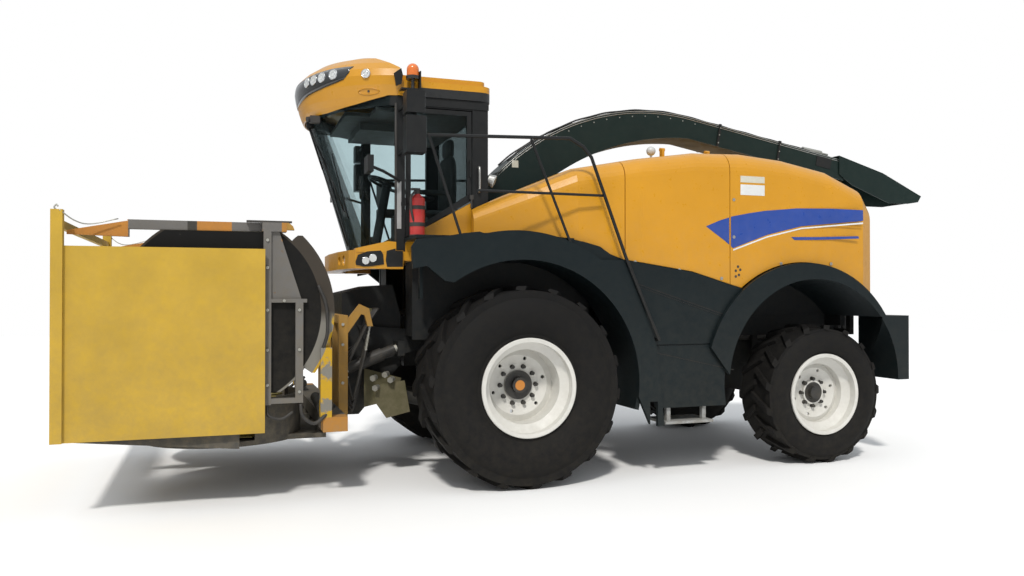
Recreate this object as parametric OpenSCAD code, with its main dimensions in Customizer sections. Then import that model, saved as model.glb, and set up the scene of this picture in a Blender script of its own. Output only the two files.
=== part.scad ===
// Self-propelled forage harvester with its rotary maize header folded for the road.
// Millimetres, +X is forward, +Y is the driver's left, +Z is up, and Z = 0 is the ground.
// Inside the modules X = 0 is the front axle; placed() brings the middle of the length to X = 0.

/* [Running gear] */
// Distance between the front and the rear axle
wheelbase = 3200; // [3100:10:3300]
// Radius of a front tyre over its lugs
front_tyre_r = 880; // [860:5:890]
// Width of a front tyre
front_tyre_w = 800; // [760:10:820]
// Radius of the rim flange of a front wheel
front_rim_r = 432; // [410:2:450]
// Distance from the centre line to the middle of a front tyre
front_track = 1250; // [1240:5:1280]
// Radius of a rear tyre over its lugs
rear_tyre_r = 690; // [670:5:700]
// Width of a rear tyre
rear_tyre_w = 550; // [520:10:560]
// Radius of the rim flange of a rear wheel
rear_rim_r = 404; // [390:2:420]
// Distance from the centre line to the middle of a rear tyre
rear_track = 1225; // [1215:5:1240]
// Distance from the centre line to a steering kingpin
kingpin_y = 950; // [940:5:960]
// Diameter of a kingpin
kingpin_d = 90; // [70:5:100]
// Height of a tyre lug
lug_h = 38; // [25:1:45]

/* [Chassis] */
// Distance from the centre line to the outer side of a frame rail
rail_y = 420; // [400:5:430]
// Height of a frame rail
rail_h = 240; // [200:10:260]
// Height of the rails' upper side
rail_top = 1180; // [1160:5:1200]
// Size of the engine block: length, width, height
engine = [1500, 800, 900]; // [400:10:1600]

/* [Bodywork] */
// Thickness of the bodywork panels
panel_t = 30; // [20:1:40]
// Gap between neighbouring panels
seam = 8; // [4:1:12]
// Place of the seam between the front and the middle panel
front_seam_x = -1000; // [-1050:10:-980]
// Place of the seam between the middle and the rear panel
rear_seam_x = -2120; // [-2160:10:-2100]
// Half of the width of the bodywork
body_y = 1440; // [1430:5:1450]
// Half of the width over the black fenders and skirts
fender_y = 1500; // [1480:5:1510]
// Thickness of the curved fender sheets
fender_sheet = 30; // [20:1:40]
// Radius of the front wheel arch
front_arch_r = 1110; // [1090:5:1130]
// Radius of the rear wheel arch
rear_arch_r = 1010; // [1000:5:1020]

/* [Cab] */
// Half of the width of the cab
cab_y = 950; // [930:5:970]
// Height of the cab floor
cab_floor_z = 2070; // [2050:5:2090]
// Height of the underside of the cab roof
cab_top_z = 3470; // [3450:5:3500]
// Place of the front pillars
pillar_x = 1030; // [1000:5:1050]
// Place of the rear wall of the cab
cab_rear_x = 170; // [160:5:190]
// Reach of the windscreen before the pillars, at the floor and at the roof
screen_reach = [270, 700]; // [200:10:750]
// Thickness of the cab glass
glass_t = 8; // [6:1:12]
// Width of a cab pillar
pillar_w = 80; // [60:5:100]

/* [Spout] */
// Place of the axis on which the spout turns
spout_x = -330; // [-350:5:-320]
// Height of the turntable
spout_base_z = 2600; // [2580:5:2620]
// Width of the spout
spout_w = 400; // [340:10:420]
// Reach of the spout's end behind the front axle
spout_reach = 5690; // [5680:1:5700]

/* [Header] */
// Reach of the header's road guard before the front axle
header_reach = 3690; // [3680:1:3720]
// Half of the width over the road guard
guard_y = 1500; // [1480:5:1520]
// Radius of a rotor over its tines
rotor_r = 620; // [600:5:622]
// Place of the rotors
rotor_x = 2500; // [2490:5:2520]
// Height of the middle of a folded wing rotor
wing_z = 1545; // [1540:5:1550]
// Distance from the centre line to the middle of a centre rotor
centre_rotor_y = 690; // [685:5:700]
// Height of the underside of the centre rotors
centre_rotor_z = 520; // [500:5:530]
// Tines around a rotor
tines = 12; // [8:1:14]
// Height of the axis on which the feeder house swings
feeder_z = 1250; // [1230:5:1270]
// Place of that axis
feeder_x = 750; // [740:5:760]

/* [Hidden] */
$fn = 48;
// Clearance that seats a piece on its carrier
seat = 0.3;
// Shift that brings the middle of the length to X = 0
frame_x = (spout_reach - header_reach) / 2;
front_axle_z = front_tyre_r;
rear_axle_z = rear_tyre_r;
yellow = "#d9a520";
dark = "#1c2a2e";
black = "#17191a";
grey = "#6d6f6d";
white = "#dfe2dd";

// Brings a piece from the front axle's frame to the frame of the whole machine
module placed() translate([frame_x, 0, 0]) children();

// A box between two corners
module block(low, high) translate(low) cube(high - low);

// The same piece on the left and on the right
module both_sides() {
    children();
    mirror([0, 1, 0]) children();
}

// An outline in X and Z, drawn out from y0 to y1
module slab(y0, y1) translate([0, y1, 0]) rotate([90, 0, 0]) linear_extrude(y1 - y0) children();

// An outline in Y and Z, drawn out from x0 to x1
module cross(x0, x1) translate([x0, 0, 0]) rotate([90, 0, 90]) linear_extrude(x1 - x0) children();

// A straight round bar between two points
module bar(from, to, d) {
    run = to - from;
    translate(from)
        rotate([0, acos(run[2] / norm(run)), atan2(run[1], run[0])])
            cylinder(d = d, h = norm(run));
}

// Swelling of a tube at its bends
bend_swell = 1.06;

// A bent tube through a list of points
module tube(points, d) {
    for (i = [0 : len(points) - 2]) bar(points[i], points[i + 1], d);
    for (i = [1 : len(points) - 2]) translate(points[i]) sphere(d = d * bend_swell);
}

// A cylinder along Y between y0 and y1 at x, z
module drum(x, z, r, y0, y1) translate([x, y0, z]) rotate([-90, 0, 0]) cylinder(r = r, h = y1 - y0);

// Wheels: rows of [x, z, tyre radius, tyre width, rim radius, track, lugs, nuts, nut circle, dish]
FRONT = [0, front_axle_z, front_tyre_r, front_tyre_w, front_rim_r, front_track, 18, 10, 168, 330];
REAR = [-wheelbase, rear_axle_z, rear_tyre_r, rear_tyre_w, rear_rim_r, rear_track, 17, 8, 138, 215];
function w_x(w) = w[0];
function w_z(w) = w[1];
function w_r(w) = w[2];
function w_w(w) = w[3];
function w_rim(w) = w[4];
function w_track(w) = w[5];
function w_lugs(w) = w[6];
function w_nuts(w) = w[7];
function w_circle(w) = w[8];
function w_dish(w) = w[9];
flange_h = 22;
rim_t = 14;
// Half of the width of a rim over its flanges
function rim_half(w) = w_w(w) * 0.46;
// Place of a wheel's disc from the middle of its tyre, positive outwards
function disc_y(w) = rim_half(w) - w_dish(w);

// Turns a shape that is revolved about Z to the wheel's own axis, outwards to +Y
module wheel_place(w) translate([w_x(w), w_track(w), w_z(w)]) rotate([-90, 0, 0]) children();

// Half outline of a tyre: tread radius at X, width along Y
module tyre_outline(w) {
    r = w_r(w) - lug_h;
    h = w_w(w) / 2;
    seat_r = w_rim(w) - flange_h + seat;
    bulge = (r - w_rim(w)) * 0.62;
    difference() {
        union() {
            translate([w_rim(w) + bulge * 0.15, -rim_half(w) + 20]) square([r - w_rim(w) - bulge * 0.15, 2 * rim_half(w) - 40]);
            intersection() {
                for (s = [-1, 1])
                    translate([w_rim(w) + bulge * 0.75, s * (h - bulge)]) circle(r = bulge, $fn = 40);
                translate([w_rim(w) + seat * 2, -h]) square([r - w_rim(w), 2 * h]);
            }
            translate([seat_r, -rim_half(w) + 24]) square([80, 2 * rim_half(w) - 48]);
        }
        translate([0, -h]) square([seat_r, 2 * h]);
    }
}

// One lug of a tyre: a bar from the tread's middle to its shoulder, and on down the side wall
module lug(w) {
    r = w_r(w);
    h = w_w(w) / 2;
    root = r - lug_h - 30;
    bar_w = r * 0.075;
    slope = 0.62 * h;
    rotate([90, 0, 90]) translate([0, 0, root]) linear_extrude(r - root)
        polygon([[-bar_w / 2, -18], [bar_w / 2, -18], [slope + bar_w * 0.7, h * 0.94], [slope - bar_w * 0.7, h * 0.94]]);
}

module tyre(w) color(black) wheel_place(w) {
    pitch = 360 / w_lugs(w);
    difference() {
        union() {
            rotate_extrude() tyre_outline(w);
            intersection() {
                union() for (i = [0 : w_lugs(w) - 1]) {
                    rotate(i * pitch) lug(w);
                    rotate((i + 0.5) * pitch) mirror([0, 0, 1]) lug(w);
                }
                rotate_extrude() lug_envelope(w);
            }
        }
    }
}

// Limit of the lugs: level over the tread and sloping down at the shoulders
module lug_envelope(w) {
    r = w_r(w);
    h = w_w(w) / 2;
    polygon([[r - 150, -h], [r - 110, -h + 4], [r, -h * 0.8], [r, h * 0.8], [r - 110, h - 4], [r - 150, h]]);
}

module rim(w) wheel_place(w) {
    r = w_rim(w);
    h = rim_half(w);
    d = disc_y(w);
    base = r - flange_h;
    well = base - 70;
    bore = 60;
    // Stepped barrel with its flanges, and the dished disc
    color(white) difference() {
        rotate_extrude() polygon([
            [bore, d], [r * 0.44, d], [r * 0.62, d + 30], [well - rim_t, d + 10],
            [well - rim_t, h - 130], [base - rim_t, h - 80], [base - rim_t, h - 6], [r - 6, h], [r, h - 4],
            [r, h - 20], [base, h - 24], [base, h - 90], [well, h - 140],
            [well, -h + 90], [base, -h + 60], [base, -h + 24], [r, -h + 20],
            [r, -h], [base - rim_t, -h], [base - rim_t, -h + 50], [well - rim_t, -h + 84],
            [well - rim_t, d - 24], [r * 0.62, d - 4], [r * 0.44, d - 20], [bore, d - 20]
        ]);
        for (i = [0 : 5])
            rotate(i * 60 + 15) translate([r * 0.56, 0, d - 60]) cylinder(r = 16, h = 150, $fn = 24);
    }
    color(black) {
        translate([0, 0, d - 20]) cylinder(r = r * 0.3, h = 46);
        translate([0, 0, d]) cylinder(r = r * 0.16, h = 72);
        for (i = [0 : w_nuts(w) - 1])
            rotate(i * 360 / w_nuts(w)) translate([w_circle(w), 0, d - 10]) cylinder(r = 17, h = 50, $fn = 6);
    }
}

// Chassis
rail_t = 120;
rail_low = rail_top - rail_h;
rail_front = 700;
rail_rear = -4040;
axle_tube_r = 125;
pivot_z = 800;
pivot_d = 80;
cheek_x = 170;
cab_post = 90;
hitch_x = -4160;
hitch_z = 700;
hitch_bore = 32;

// Centres of the rear fenders' inner and outer curve
rear_inner = [-wheelbase + 120, 830];
rear_outer = [-wheelbase + 230, 850];
// Height of the rear fenders' underside over their brackets
fender_low = rear_inner[1] + sqrt(rear_arch_r * rear_arch_r - 30 * 30) - seat;

// Hoops under the bonnet: rows of [rear x, front x, rear x under the roof, outrigger x, inner y, side foot z]
HOOPS = [
    [-995, -945, -1060, -1290, 620, 1660],
    [-2190, -2130, -2060, -2050, 250, 1800]
];
hoop_low = 1600;
strut_y = 402;
function hoop_span(hoop) = [min(hoop[0], hoop[2]), max(hoop[1], hoop[2])];

// Frame on the rails that carries the bodywork
module body_frame() color(dark) {
    side = body_y - 80 - seat;
    intersection() {
        bonnet_form(panel_t + seat);
        both_sides() for (hoop = HOOPS) {
            block([hoop[0], side - 50, hoop_low], [hoop[1], side, 3200]);
            block([hoop[0], side - 50, hoop[5]], [hoop[1], 1600, 3200]);
            block([hoop_span(hoop)[0], hoop[4], 2830], [hoop_span(hoop)[1], hinge_y - 20, 3200]);
            block([hoop[0], hinge_y - 30, 2830], [hoop[1], 1600, 3200]);
        }
    }
    both_sides() for (hoop = HOOPS) {
        block([hoop[3], strut_y, rail_top + seat], [hoop[3] + 70, strut_y + 68, 1310]);
        block([hoop[3], strut_y, 1240], [hoop[3] + 70, side, 1310]);
        block([hoop[3], side - 50, 1300], [hoop[3] + 60, side, hoop_low + 60]);
        block([min(hoop[3], hoop[0]), side - 50, hoop_low], [max(hoop[3] + 60, hoop[1]), side, hoop_low + 60]);
    }
    // Brackets of the rear fenders
    both_sides() {
        block([rear_inner[0] - 30, rail_y + seat, rail_low + 40], [rear_inner[0] + 30, rail_y + 50, fender_low]);
        block([rear_inner[0] - 30, rail_y + seat, fender_low - 60], [rear_inner[0] + 30, rail_y + 280, fender_low]);
    }
}

module chassis_frame() color(dark) difference() {
    union() {
        both_sides() block([rail_rear, rail_y - rail_t, rail_low], [rail_front, rail_y, rail_top]);
        for (x = [rail_rear, -2420, -1500, -1000])
            block([x, -rail_y + rail_t, rail_low + 30], [x + 130, rail_y - rail_t, rail_top - 30]);
        // Cheeks that hold the pivot of the rear axle
        for (s = [-1, 1])
            translate([-wheelbase + s * cheek_x - 30, -rail_y, pivot_z - 90]) cube([60, 2 * rail_y, rail_low - pivot_z + 90]);
        // Cab posts with the cross tube that carries the cab
        both_sides() for (x = [260, 600])
            block([x, rail_y - cab_post, rail_top], [x + cab_post, rail_y, cab_floor_z - 80 - seat]);
        // Saddles over the front axle
        both_sides() block([-200, rail_y - rail_t, front_axle_z - 60], [200, rail_y, rail_low]);
        // Drawbar at the rear
        block([hitch_x - 60, -90, hitch_z - 20], [hitch_x + 90, 90, hitch_z]);
        block([hitch_x - 60, -90, hitch_z - 120], [hitch_x + 90, 90, hitch_z - 100]);
        block([hitch_x + 90, -110, hitch_z - 140], [rail_rear + 30, 110, rail_low + 60]);
    }
    drum(0, front_axle_z, axle_tube_r + seat, -rail_y - 10, rail_y + 10);
    translate([-wheelbase - 300, 0, pivot_z]) rotate([0, 90, 0]) cylinder(d = pivot_d + 2 * seat, h = 600);
    translate([hitch_x, 0, hitch_z - 200]) cylinder(d = hitch_bore, h = 300);
}

module engine_block() color(grey)
    translate([-3350, -engine[1] / 2, rail_top]) cube(engine);

// Chopper, crop channel and the tower under the spout
crop_y = 290;
journal_r = 55;
module crop_unit() color(dark) difference() {
    union() {
        slab(-crop_y, crop_y) polygon([
            [820, 1030], [820, 1480], [520, 1620], [140, 1560], [-60, 1700],
            [spout_x + 210, spout_base_z - 60], [spout_x - 210, spout_base_z - 60],
            [-680, 1800], [-780, 1400], [-780, 1030]
        ]);
        translate([spout_x, 0, spout_base_z - 60]) cylinder(r = 250, h = 60);
        // Floor of the turning circle, and the feet on the rails
        intersection() {
            translate([spout_x, 0, well_z - 60]) cylinder(r = well_r - 12, h = 20, $fn = 96);
            block([-1300, -well_r, 2400], [60, well_r, 2600]);
        }
        both_sides() for (x = [-600, 60]) block([x, crop_y - 10, rail_top + seat], [x + 60, rail_y, rail_top + 60]);
        // Bearings of the feeder house
        both_sides() drum(feeder_x, feeder_z, journal_r, crop_y, rail_y + 80);
    }
    both_sides() block([-900, crop_y, rail_low], [rail_front + seat, rail_y + 30, rail_top + seat]);
    translate([spout_x, 0, spout_base_z - 900]) cylinder(r = 190, h = 1000);
}

// Axles. Each wheel seats against the flange at the end of its axle
function hub_y(w) = w_track(w) + disc_y(w) - 20 - seat;
module front_axle() color(dark) {
    drum(0, front_axle_z, axle_tube_r, -640, 640);
    both_sides() {
        drum(0, front_axle_z, 215, 640, 930);
        drum(0, front_axle_z, 170, 930, 1120);
        drum(0, front_axle_z, 125, 1120, hub_y(FRONT));
    }
}

yoke_gap = 110;
knuckle_h = 2 * yoke_gap - 12;
module rear_axle() color(dark) difference() {
    union() {
        slab(-kingpin_y + 160, kingpin_y - 160) translate([-wheelbase - 85, rear_axle_z - 95]) square([170, 175]);
        both_sides() block([-wheelbase - 85, kingpin_y - 165, rear_axle_z - 165],
            [-wheelbase + 85, kingpin_y - 85, rear_axle_z + 165]);
        both_sides() for (s = [-1, 1])
            translate([-wheelbase, kingpin_y, rear_axle_z + s * (yoke_gap + 27.5)])
                linear_extrude(55, center = true) hull_eye();
        translate([-wheelbase - cheek_x + 30 + seat, 0, pivot_z]) rotate([0, 90, 0])
            cylinder(r = 85, h = 2 * cheek_x - 60 - 2 * seat);
        translate([-wheelbase - 230, 0, pivot_z]) rotate([0, 90, 0]) cylinder(d = pivot_d, h = 460);
    }
    both_sides() translate([-wheelbase, kingpin_y, 0]) cylinder(d = kingpin_d + 2 * seat, h = 2000);
}

// Plan of a yoke arm: a round eye joined to the beam's end
module hull_eye() union() {
    circle(d = 150);
    translate([-75, -120]) square([150, 120]);
}

// Knuckle with its kingpin, the wheel's stub and the arm of the tie rod
arm_x = -230;
module knuckle() color(dark) {
    translate([-wheelbase, kingpin_y, rear_axle_z]) {
        cylinder(d = kingpin_d, h = 2 * yoke_gap + 120, center = true);
        cylinder(d = 150, h = knuckle_h, center = true);
    }
    drum(-wheelbase, rear_axle_z, 80, kingpin_y + 60, kingpin_y + 130);
    drum(-wheelbase, rear_axle_z, 115, kingpin_y + 130, hub_y(REAR));
    block([-wheelbase + arm_x, kingpin_y, rear_axle_z - 20], [-wheelbase - 60, kingpin_y + 60, rear_axle_z + 20]);
}
module knuckle_left() knuckle();
module knuckle_right() mirror([0, 1, 0]) knuckle();

module front_rim_left() rim(FRONT);
module front_rim_right() mirror([0, 1, 0]) rim(FRONT);
module front_tyre_left() tyre(FRONT);
module front_tyre_right() mirror([0, 1, 0]) tyre(FRONT);
module rear_rim_left() rim(REAR);
module rear_rim_right() mirror([0, 1, 0]) rim(REAR);
module rear_tyre_left() tyre(REAR);
module rear_tyre_right() mirror([0, 1, 0]) tyre(REAR);

// Bodywork. Rows of [x, half width, top, shoulder radius]
BONNET = [
    [340, body_y - 380, 2470, 120],
    [-120, body_y - 200, 2670, 150],
    [-550, body_y - 60, 2850, 170],
    [front_seam_x - 170, body_y, 2965, 180],
    [-1780, body_y, 3055, 190],
    [-2310, body_y, 3072, 190],
    [-2790, body_y, 3035, 190],
    [-3320, body_y - 10, 2945, 190],
    [-3740, body_y - 45, 2790, 190],
    [-3960, body_y - 190, 2660, 190],
    [-4060, body_y - 440, 2540, 190]
];
bonnet_low = 1640;
bonnet_end = -4060;
well_r = 860;
well_z = 2560;
hinge_y = 1160;
hinge_z = 3092;
hinge_pin_d = 16;
hinge_arm = 24;
HINGES = [-1560, -2060];
lid_front = front_seam_x - seam;
lid_rear = rear_seam_x + seam;

// The bonnet's outer form, or its inner one with the panels' thickness as inset
module bonnet_form(inset) hull() for (row = BONNET) {
    w = row[1] - inset;
    x = row[0] + (row[0] == bonnet_end ? inset : row[0] > 0 ? -inset : 0);
    cross(x - 1, x) {
        for (s = [-1, 1]) translate([s * (w - row[3]), row[2] - inset - row[3]]) circle(r = row[3], $fn = 32);
        translate([-w, bonnet_low - 10]) square([2 * w, 10]);
    }
}

// Side view of the bonnet above its lower edge, held apart from the wheel arch by the seam
module bonnet_side() difference() {
    polygon([
        [400, 3200], [400, 2245], [0, 2248], [-460, 2200], [-770, 2120], [-890, 2030], [front_seam_x, 2008],
        [-1700, 1905], [rear_seam_x, 1785], [-2270, 1745], [-2270, bonnet_low], [-4200, bonnet_low], [-4200, 3200]
    ]);
    translate(rear_outer) circle(r = rear_arch_r + 140 + seam, $fn = 96);
}

// The bonnet's panels between two places along its length
module bonnet_shell(x0, x1) difference() {
    intersection() {
        bonnet_form(0);
        slab(-1600, 1600) intersection() {
            bonnet_side();
            translate([x0, 1000]) square([x1 - x0, 2500]);
        }
    }
    bonnet_form(panel_t);
}

// The turning circle of the spout, sunk into the bonnet
module spout_well() translate([spout_x, 0, well_z]) cylinder(r = well_r, h = 900, $fn = 96);

module bonnet_front() color(yellow) {
    difference() {
        bonnet_shell(front_seam_x, 400);
        spout_well();
        block([100, -cab_y - 30, 2000], [400, cab_y + 30, 3000]);
    }
}

// Eye of a lid's hinge over the seam, from the foot's inner to its outer side
module hinge_eye(x, y0, y1) {
    translate([x, hinge_y, hinge_z]) rotate([0, 90, 0]) cylinder(d = 36, h = hinge_arm);
    block([x, y0, 2990], [x + hinge_arm, y1, hinge_z]);
}

module bonnet_roof() color(yellow) {
    difference() {
        bonnet_shell(lid_rear - seam, lid_front);
        both_sides() block([-3000, hinge_y - seam / 2, 1000], [0, 1700, 3300]);
        spout_well();
    }
    both_sides() for (x = HINGES) {
        hinge_eye(x, hinge_y - 50, hinge_y - seam);
        translate([x, hinge_y, hinge_z]) rotate([0, 90, 0]) cylinder(d = hinge_pin_d, h = 2 * hinge_arm);
    }
}

module side_panel() color(yellow) {
    intersection() {
        bonnet_shell(lid_rear, lid_front);
        block([-3000, hinge_y + seam / 2, 1000], [0, 1700, 3300]);
    }
    for (x = HINGES) difference() {
        hinge_eye(x + hinge_arm + seat, hinge_y + seam, hinge_y + 50);
        translate([x, hinge_y, hinge_z]) rotate([0, 90, 0]) cylinder(d = hinge_pin_d + 2 * seat, h = 3 * hinge_arm);
    }
}
module side_panel_left() side_panel();
module side_panel_right() mirror([0, 1, 0]) side_panel();

grille_y = 900;
module bonnet_rear() color(yellow) difference() {
    bonnet_shell(-4200, rear_seam_x);
    block([-4300, -grille_y - 6, 1500], [-3900, grille_y + 6, 2300]);
}

// Radiator grille of upright bars in its frame, and the stand under the folded spout
grille_bars = 24;
rest_z = 3060;
module rear_grille() color(black) {
    pitch = 2 * grille_y / grille_bars;
    difference() {
        block([-4052, -grille_y, 1250], [-4000, grille_y, 2294]);
        block([-4100, -grille_y + 60, 1310], [-3900, grille_y - 60, 2234]);
    }
    for (i = [1 : grille_bars - 1])
        block([-4040, i * pitch - grille_y - 8, 1300], [-4020, i * pitch - grille_y + 8, 2244]);
    both_sides() block([-4052, 300, rail_low], [rail_rear - seat, 360, 1250]);
    // Stand of the folded spout with its cross bar
    block([-4130, -60, 1800], [-4070, 60, rest_z]);
    block([-4080, -60, 2180], [-4052, 60, 2290]);
    block([-4130, -250, rest_z], [-4070, 250, rest_z + 50]);
}

// Fender and platform over a front wheel: band, curved sheet and deck
deck_z = 2190;
// Height of the middle of the fender's sheet
function arch_z(x) = front_axle_z + sqrt(pow(front_arch_r + 20, 2) - x * x);
module front_arch() translate([0, front_axle_z]) circle(r = front_arch_r, $fn = 96);
module front_band() difference() {
    union() {
        intersection() {
            polygon([[1080, 2090], [1080, 3000], [-1000, 3000], [-1000, 2000], [-1285, 1220], [-1370, 470],
                [-1230, 470], [-900, 1200], [0, 1700], [720, 1800]]);
            translate([60, 870]) circle(r = band_r, $fn = 96);
        }
        polygon([[-1000, 2000], [-1285, 1220], [-1370, 470], [-1230, 470], [-900, 1200], [-600, 2000]]);
    }
    front_arch();
    translate([-1300, 400]) square([80, 300]);
}
module front_fenders() color(dark) both_sides() {
    slab(body_y + 22, fender_y) front_band();
    slab(cab_y + 10, body_y + 22) intersection() {
        difference() {
            translate([0, front_axle_z]) circle(r = front_arch_r + 40, $fn = 96);
            front_arch();
        }
        polygon([[0, front_axle_z], [820, 2300], [-1400, 2300], [-1400, 560]]);
    }
    // Deck of the platform and the webs that carry it
    block([-480, cab_y + seat, deck_z - 30], [960, body_y + 22, deck_z]);
    for (x = [-470, 0, 470, 800])
        block([x, cab_y + 10, arch_z(x + 30)], [x + 30, cab_y + 60, deck_z - 15]);
}

module rear_band() difference() {
    intersection() {
        translate(rear_outer) circle(r = rear_arch_r + 140, $fn = 96);
        translate(rear_outer) polygon([
            [0, 0], [840, 0], [1270, 550], [1070, 1350], [-430, 1350], [-1230, 850], [-1230, 400]
        ]);
    }
    translate(rear_inner) circle(r = rear_arch_r, $fn = 96);
}
// Room that a steered wheel sweeps
steer_r = 880;
module steer_room() translate([-wheelbase, kingpin_y, 0]) cylinder(r = steer_r, h = 1460, $fn = 64);
module rear_fenders() color(dark) both_sides() difference() {
    union() {
        slab(body_y + 22, fender_y) rear_band();
        slab(rail_y + 220, body_y + 22) translate(rear_inner) intersection() {
            difference() {
                circle(r = rear_arch_r + fender_sheet, $fn = 96);
                circle(r = rear_arch_r, $fn = 96);
            }
            polygon([[0, 635], [0, 0], [1080, 420], [1080, 1170], [-1080, 1170], [-1080, 635]]);
        }
        // Corner block behind the wheel
        translate([rear_inner[0], 0, rear_inner[1]]) block([-1150, 940, -20], [-780, fender_y, 640]);
    }
    slab(0, fender_y + 1) translate(rear_inner) circle(r = rear_arch_r, $fn = 96);
    steer_room();
}

skirt_low = 630;
// Skirts below the bonnet with their seam, stepped plates between the wheels
module side_skirts() color(dark) both_sides() difference() {
    slab(body_y - 60, body_y + 18) difference() {
        polygon([
            [-1000, 2000], [-1700, 1897], [-2120, 1777], [-2270, 1737], [-2270, 900], [-2150, skirt_low],
            [-1330, skirt_low], [-1240, 1220], [-1000, 1800]
        ]);
        translate(rear_inner) circle(r = rear_arch_r + fender_sheet + seat, $fn = 96);
        front_arch();
    }
    block([-2300, body_y + 6, 1210], [-1000, body_y + 40, 1222]);
}

module steps() color(grey) both_sides() {
    block([-1900, body_y - 330, 480], [-1390, body_y + 40, 505]);
    for (x = [-1850, -1470])
        block([x, body_y - 54, 505], [x + 40, body_y - 10, skirt_low - seat]);
}

// Handrails: one bent tube from the pillar to the skirt, with a middle rail and posts
rail_d = 30;
post_d = 24;
band_r = 1375;
function band_top(x) = 870 + sqrt(band_r * band_r - (x - 60) * (x - 60));
module handrails() color(black) both_sides() {
    y = fender_y - 20;
    front = [860, y, 3030];
    tube([front, [-430, y, 3080], [-560, y, 3010], [-640, y, 2920], [-960, y + 40, 2030], [-1240, y + 40, 1400],
        [-1300, y + 40, 1270], [-1300, body_y + 18 + seat, 1270]], rail_d);
    translate(front) sphere(d = rail_d * bend_swell);
    bar([430, y, 2580], [-760, y, 2580], post_d);
    difference() {
        union() {
            bar([-60, y, 3050], [-440, y, band_top(-440) - 20], post_d);
            bar(front, [560, y, band_top(560) - 20], post_d);
        }
        drum(60, 870, band_r + seat, y - 40, y + 40);
    }
}

// Cab. Plan of the cab: straight sides and a round front between the pillars
function arc_r(reach, half) = (reach * reach + half * half) / (2 * reach);
module front_plan(reach, half, from) {
    r = arc_r(reach, half);
    intersection() {
        translate([pillar_x + reach - r, 0]) circle(r = r, $fn = 96);
        translate([from, -half]) square([2000, 2 * half]);
    }
}
module cab_plan(reach, half) {
    front_plan(reach, half, pillar_x - 1);
    translate([cab_rear_x, -half]) square([pillar_x - cab_rear_x, 2 * half]);
}

ring_h = 90;
screen_z = [cab_floor_z + seat, cab_top_z - seat];
// Room inside the curved windscreen, set in from the glass's outer side
module screen_form(inset, from, grow) hull() for (i = [0, 1])
    translate([0, 0, screen_z[i] + (i == 0 ? -grow : grow - 1)])
        linear_extrude(1) front_plan(screen_reach[i] - inset, cab_y - inset, from);

// Apron under the windscreen: half of its plan and of the hollow behind it, and its low edge
apron_low = 1915;
APRON = [[970, 970], [1395, 962], [1440, 860], [1490, 500], [1510, 0]];
APRON_HOLLOW = [[900, 780], [1240, 780], [1330, 420], [1345, 0]];
function mirrored(points) = [for (i = [len(points) - 1 : -1 : 0]) if (points[i][1] > 0) [points[i][0], -points[i][1]]];
sill_top = [2190, 2530];
rear_pillar_w = 150;
door_gap = 10;
door_x = [cab_rear_x + rear_pillar_w + door_gap, pillar_x - pillar_w - door_gap];
door_t = 40;
// Hinges of the door: their axis, radius, height and places
hinge_axis = [pillar_x - pillar_w - 2, cab_y + 12];
hinge_r = 11;
hinge_h = 34;
DOOR_HINGES = [2480, 3260];

// Height of the sill's upper edge, which rises to the rear
function sill_z(x) = sill_top[0] + (sill_top[1] - sill_top[0]) * (pillar_x - pillar_w - x) / (pillar_x - pillar_w - door_x[0]);

// The sill dips at its front end, where the door's inner edge swings over it
sill_dip = 45;
sill_front = pillar_x - pillar_w - 130;

// Headlamps: rows of [x, y, z, radius, direction about Z], each in a pocket of the apron
HEADLAMPS = [[1222, 900, 1998, 44, 90], [1322, 900, 1994, 38, 90], [1412, 700, 1994, 46, 0], [1424, 560, 1994, 40, 0]];
lamp_depth = 40;
module headlamps(grow, depth) both_sides() for (lamp = HEADLAMPS)
    translate([lamp[0], lamp[1], lamp[2]]) rotate([0, 90, lamp[4]])
        translate([0, 0, -grow]) cylinder(r = lamp[3] + grow, h = depth);

module cab_floor() color(yellow) {
    difference() {
        union() {
            translate([0, 0, cab_floor_z - 80]) linear_extrude(80) cab_plan(screen_reach[0] + 12, cab_y);
            translate([0, 0, apron_low]) linear_extrude(cab_floor_z + 8 - apron_low) difference() {
                polygon(concat(APRON, mirrored(APRON)));
                polygon(concat(APRON_HOLLOW, mirrored(APRON_HOLLOW)));
            }
            // Lamp pods that rise beside the windscreen
            both_sides() slab(cab_y + seat, cab_y + 20) polygon([
                [1034, cab_floor_z - 10], [1034, 2155], [1110, 2160], [1395, 2092], [1395, cab_floor_z - 10]
            ]);
            both_sides() slab(cab_y - 90, cab_y + 20) polygon([
                [1115, cab_floor_z - 10], [1115, 2159], [1395, 2092], [1395, cab_floor_z - 10]
            ]);
        }
        translate([0, 0, cab_floor_z]) linear_extrude(200) cab_plan(screen_reach[0] + 70, cab_y + 1);
        headlamps(seat, 200);
        both_sides() slab(cab_y - 10, cab_y + 30) polygon([
            [1145, 1955], [1320, 1935], [1378, 1975], [1372, 2030], [1290, 2062], [1180, 2050]
        ]);
    }
    both_sides() slab(cab_y - 60, cab_y - 8) polygon([
        [door_x[0], cab_floor_z], [pillar_x - pillar_w - seat, cab_floor_z],
        [pillar_x - pillar_w - seat, sill_top[0] - sill_dip], [sill_front, sill_z(sill_front)], [door_x[0], sill_top[1]]
    ]);
}

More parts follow.
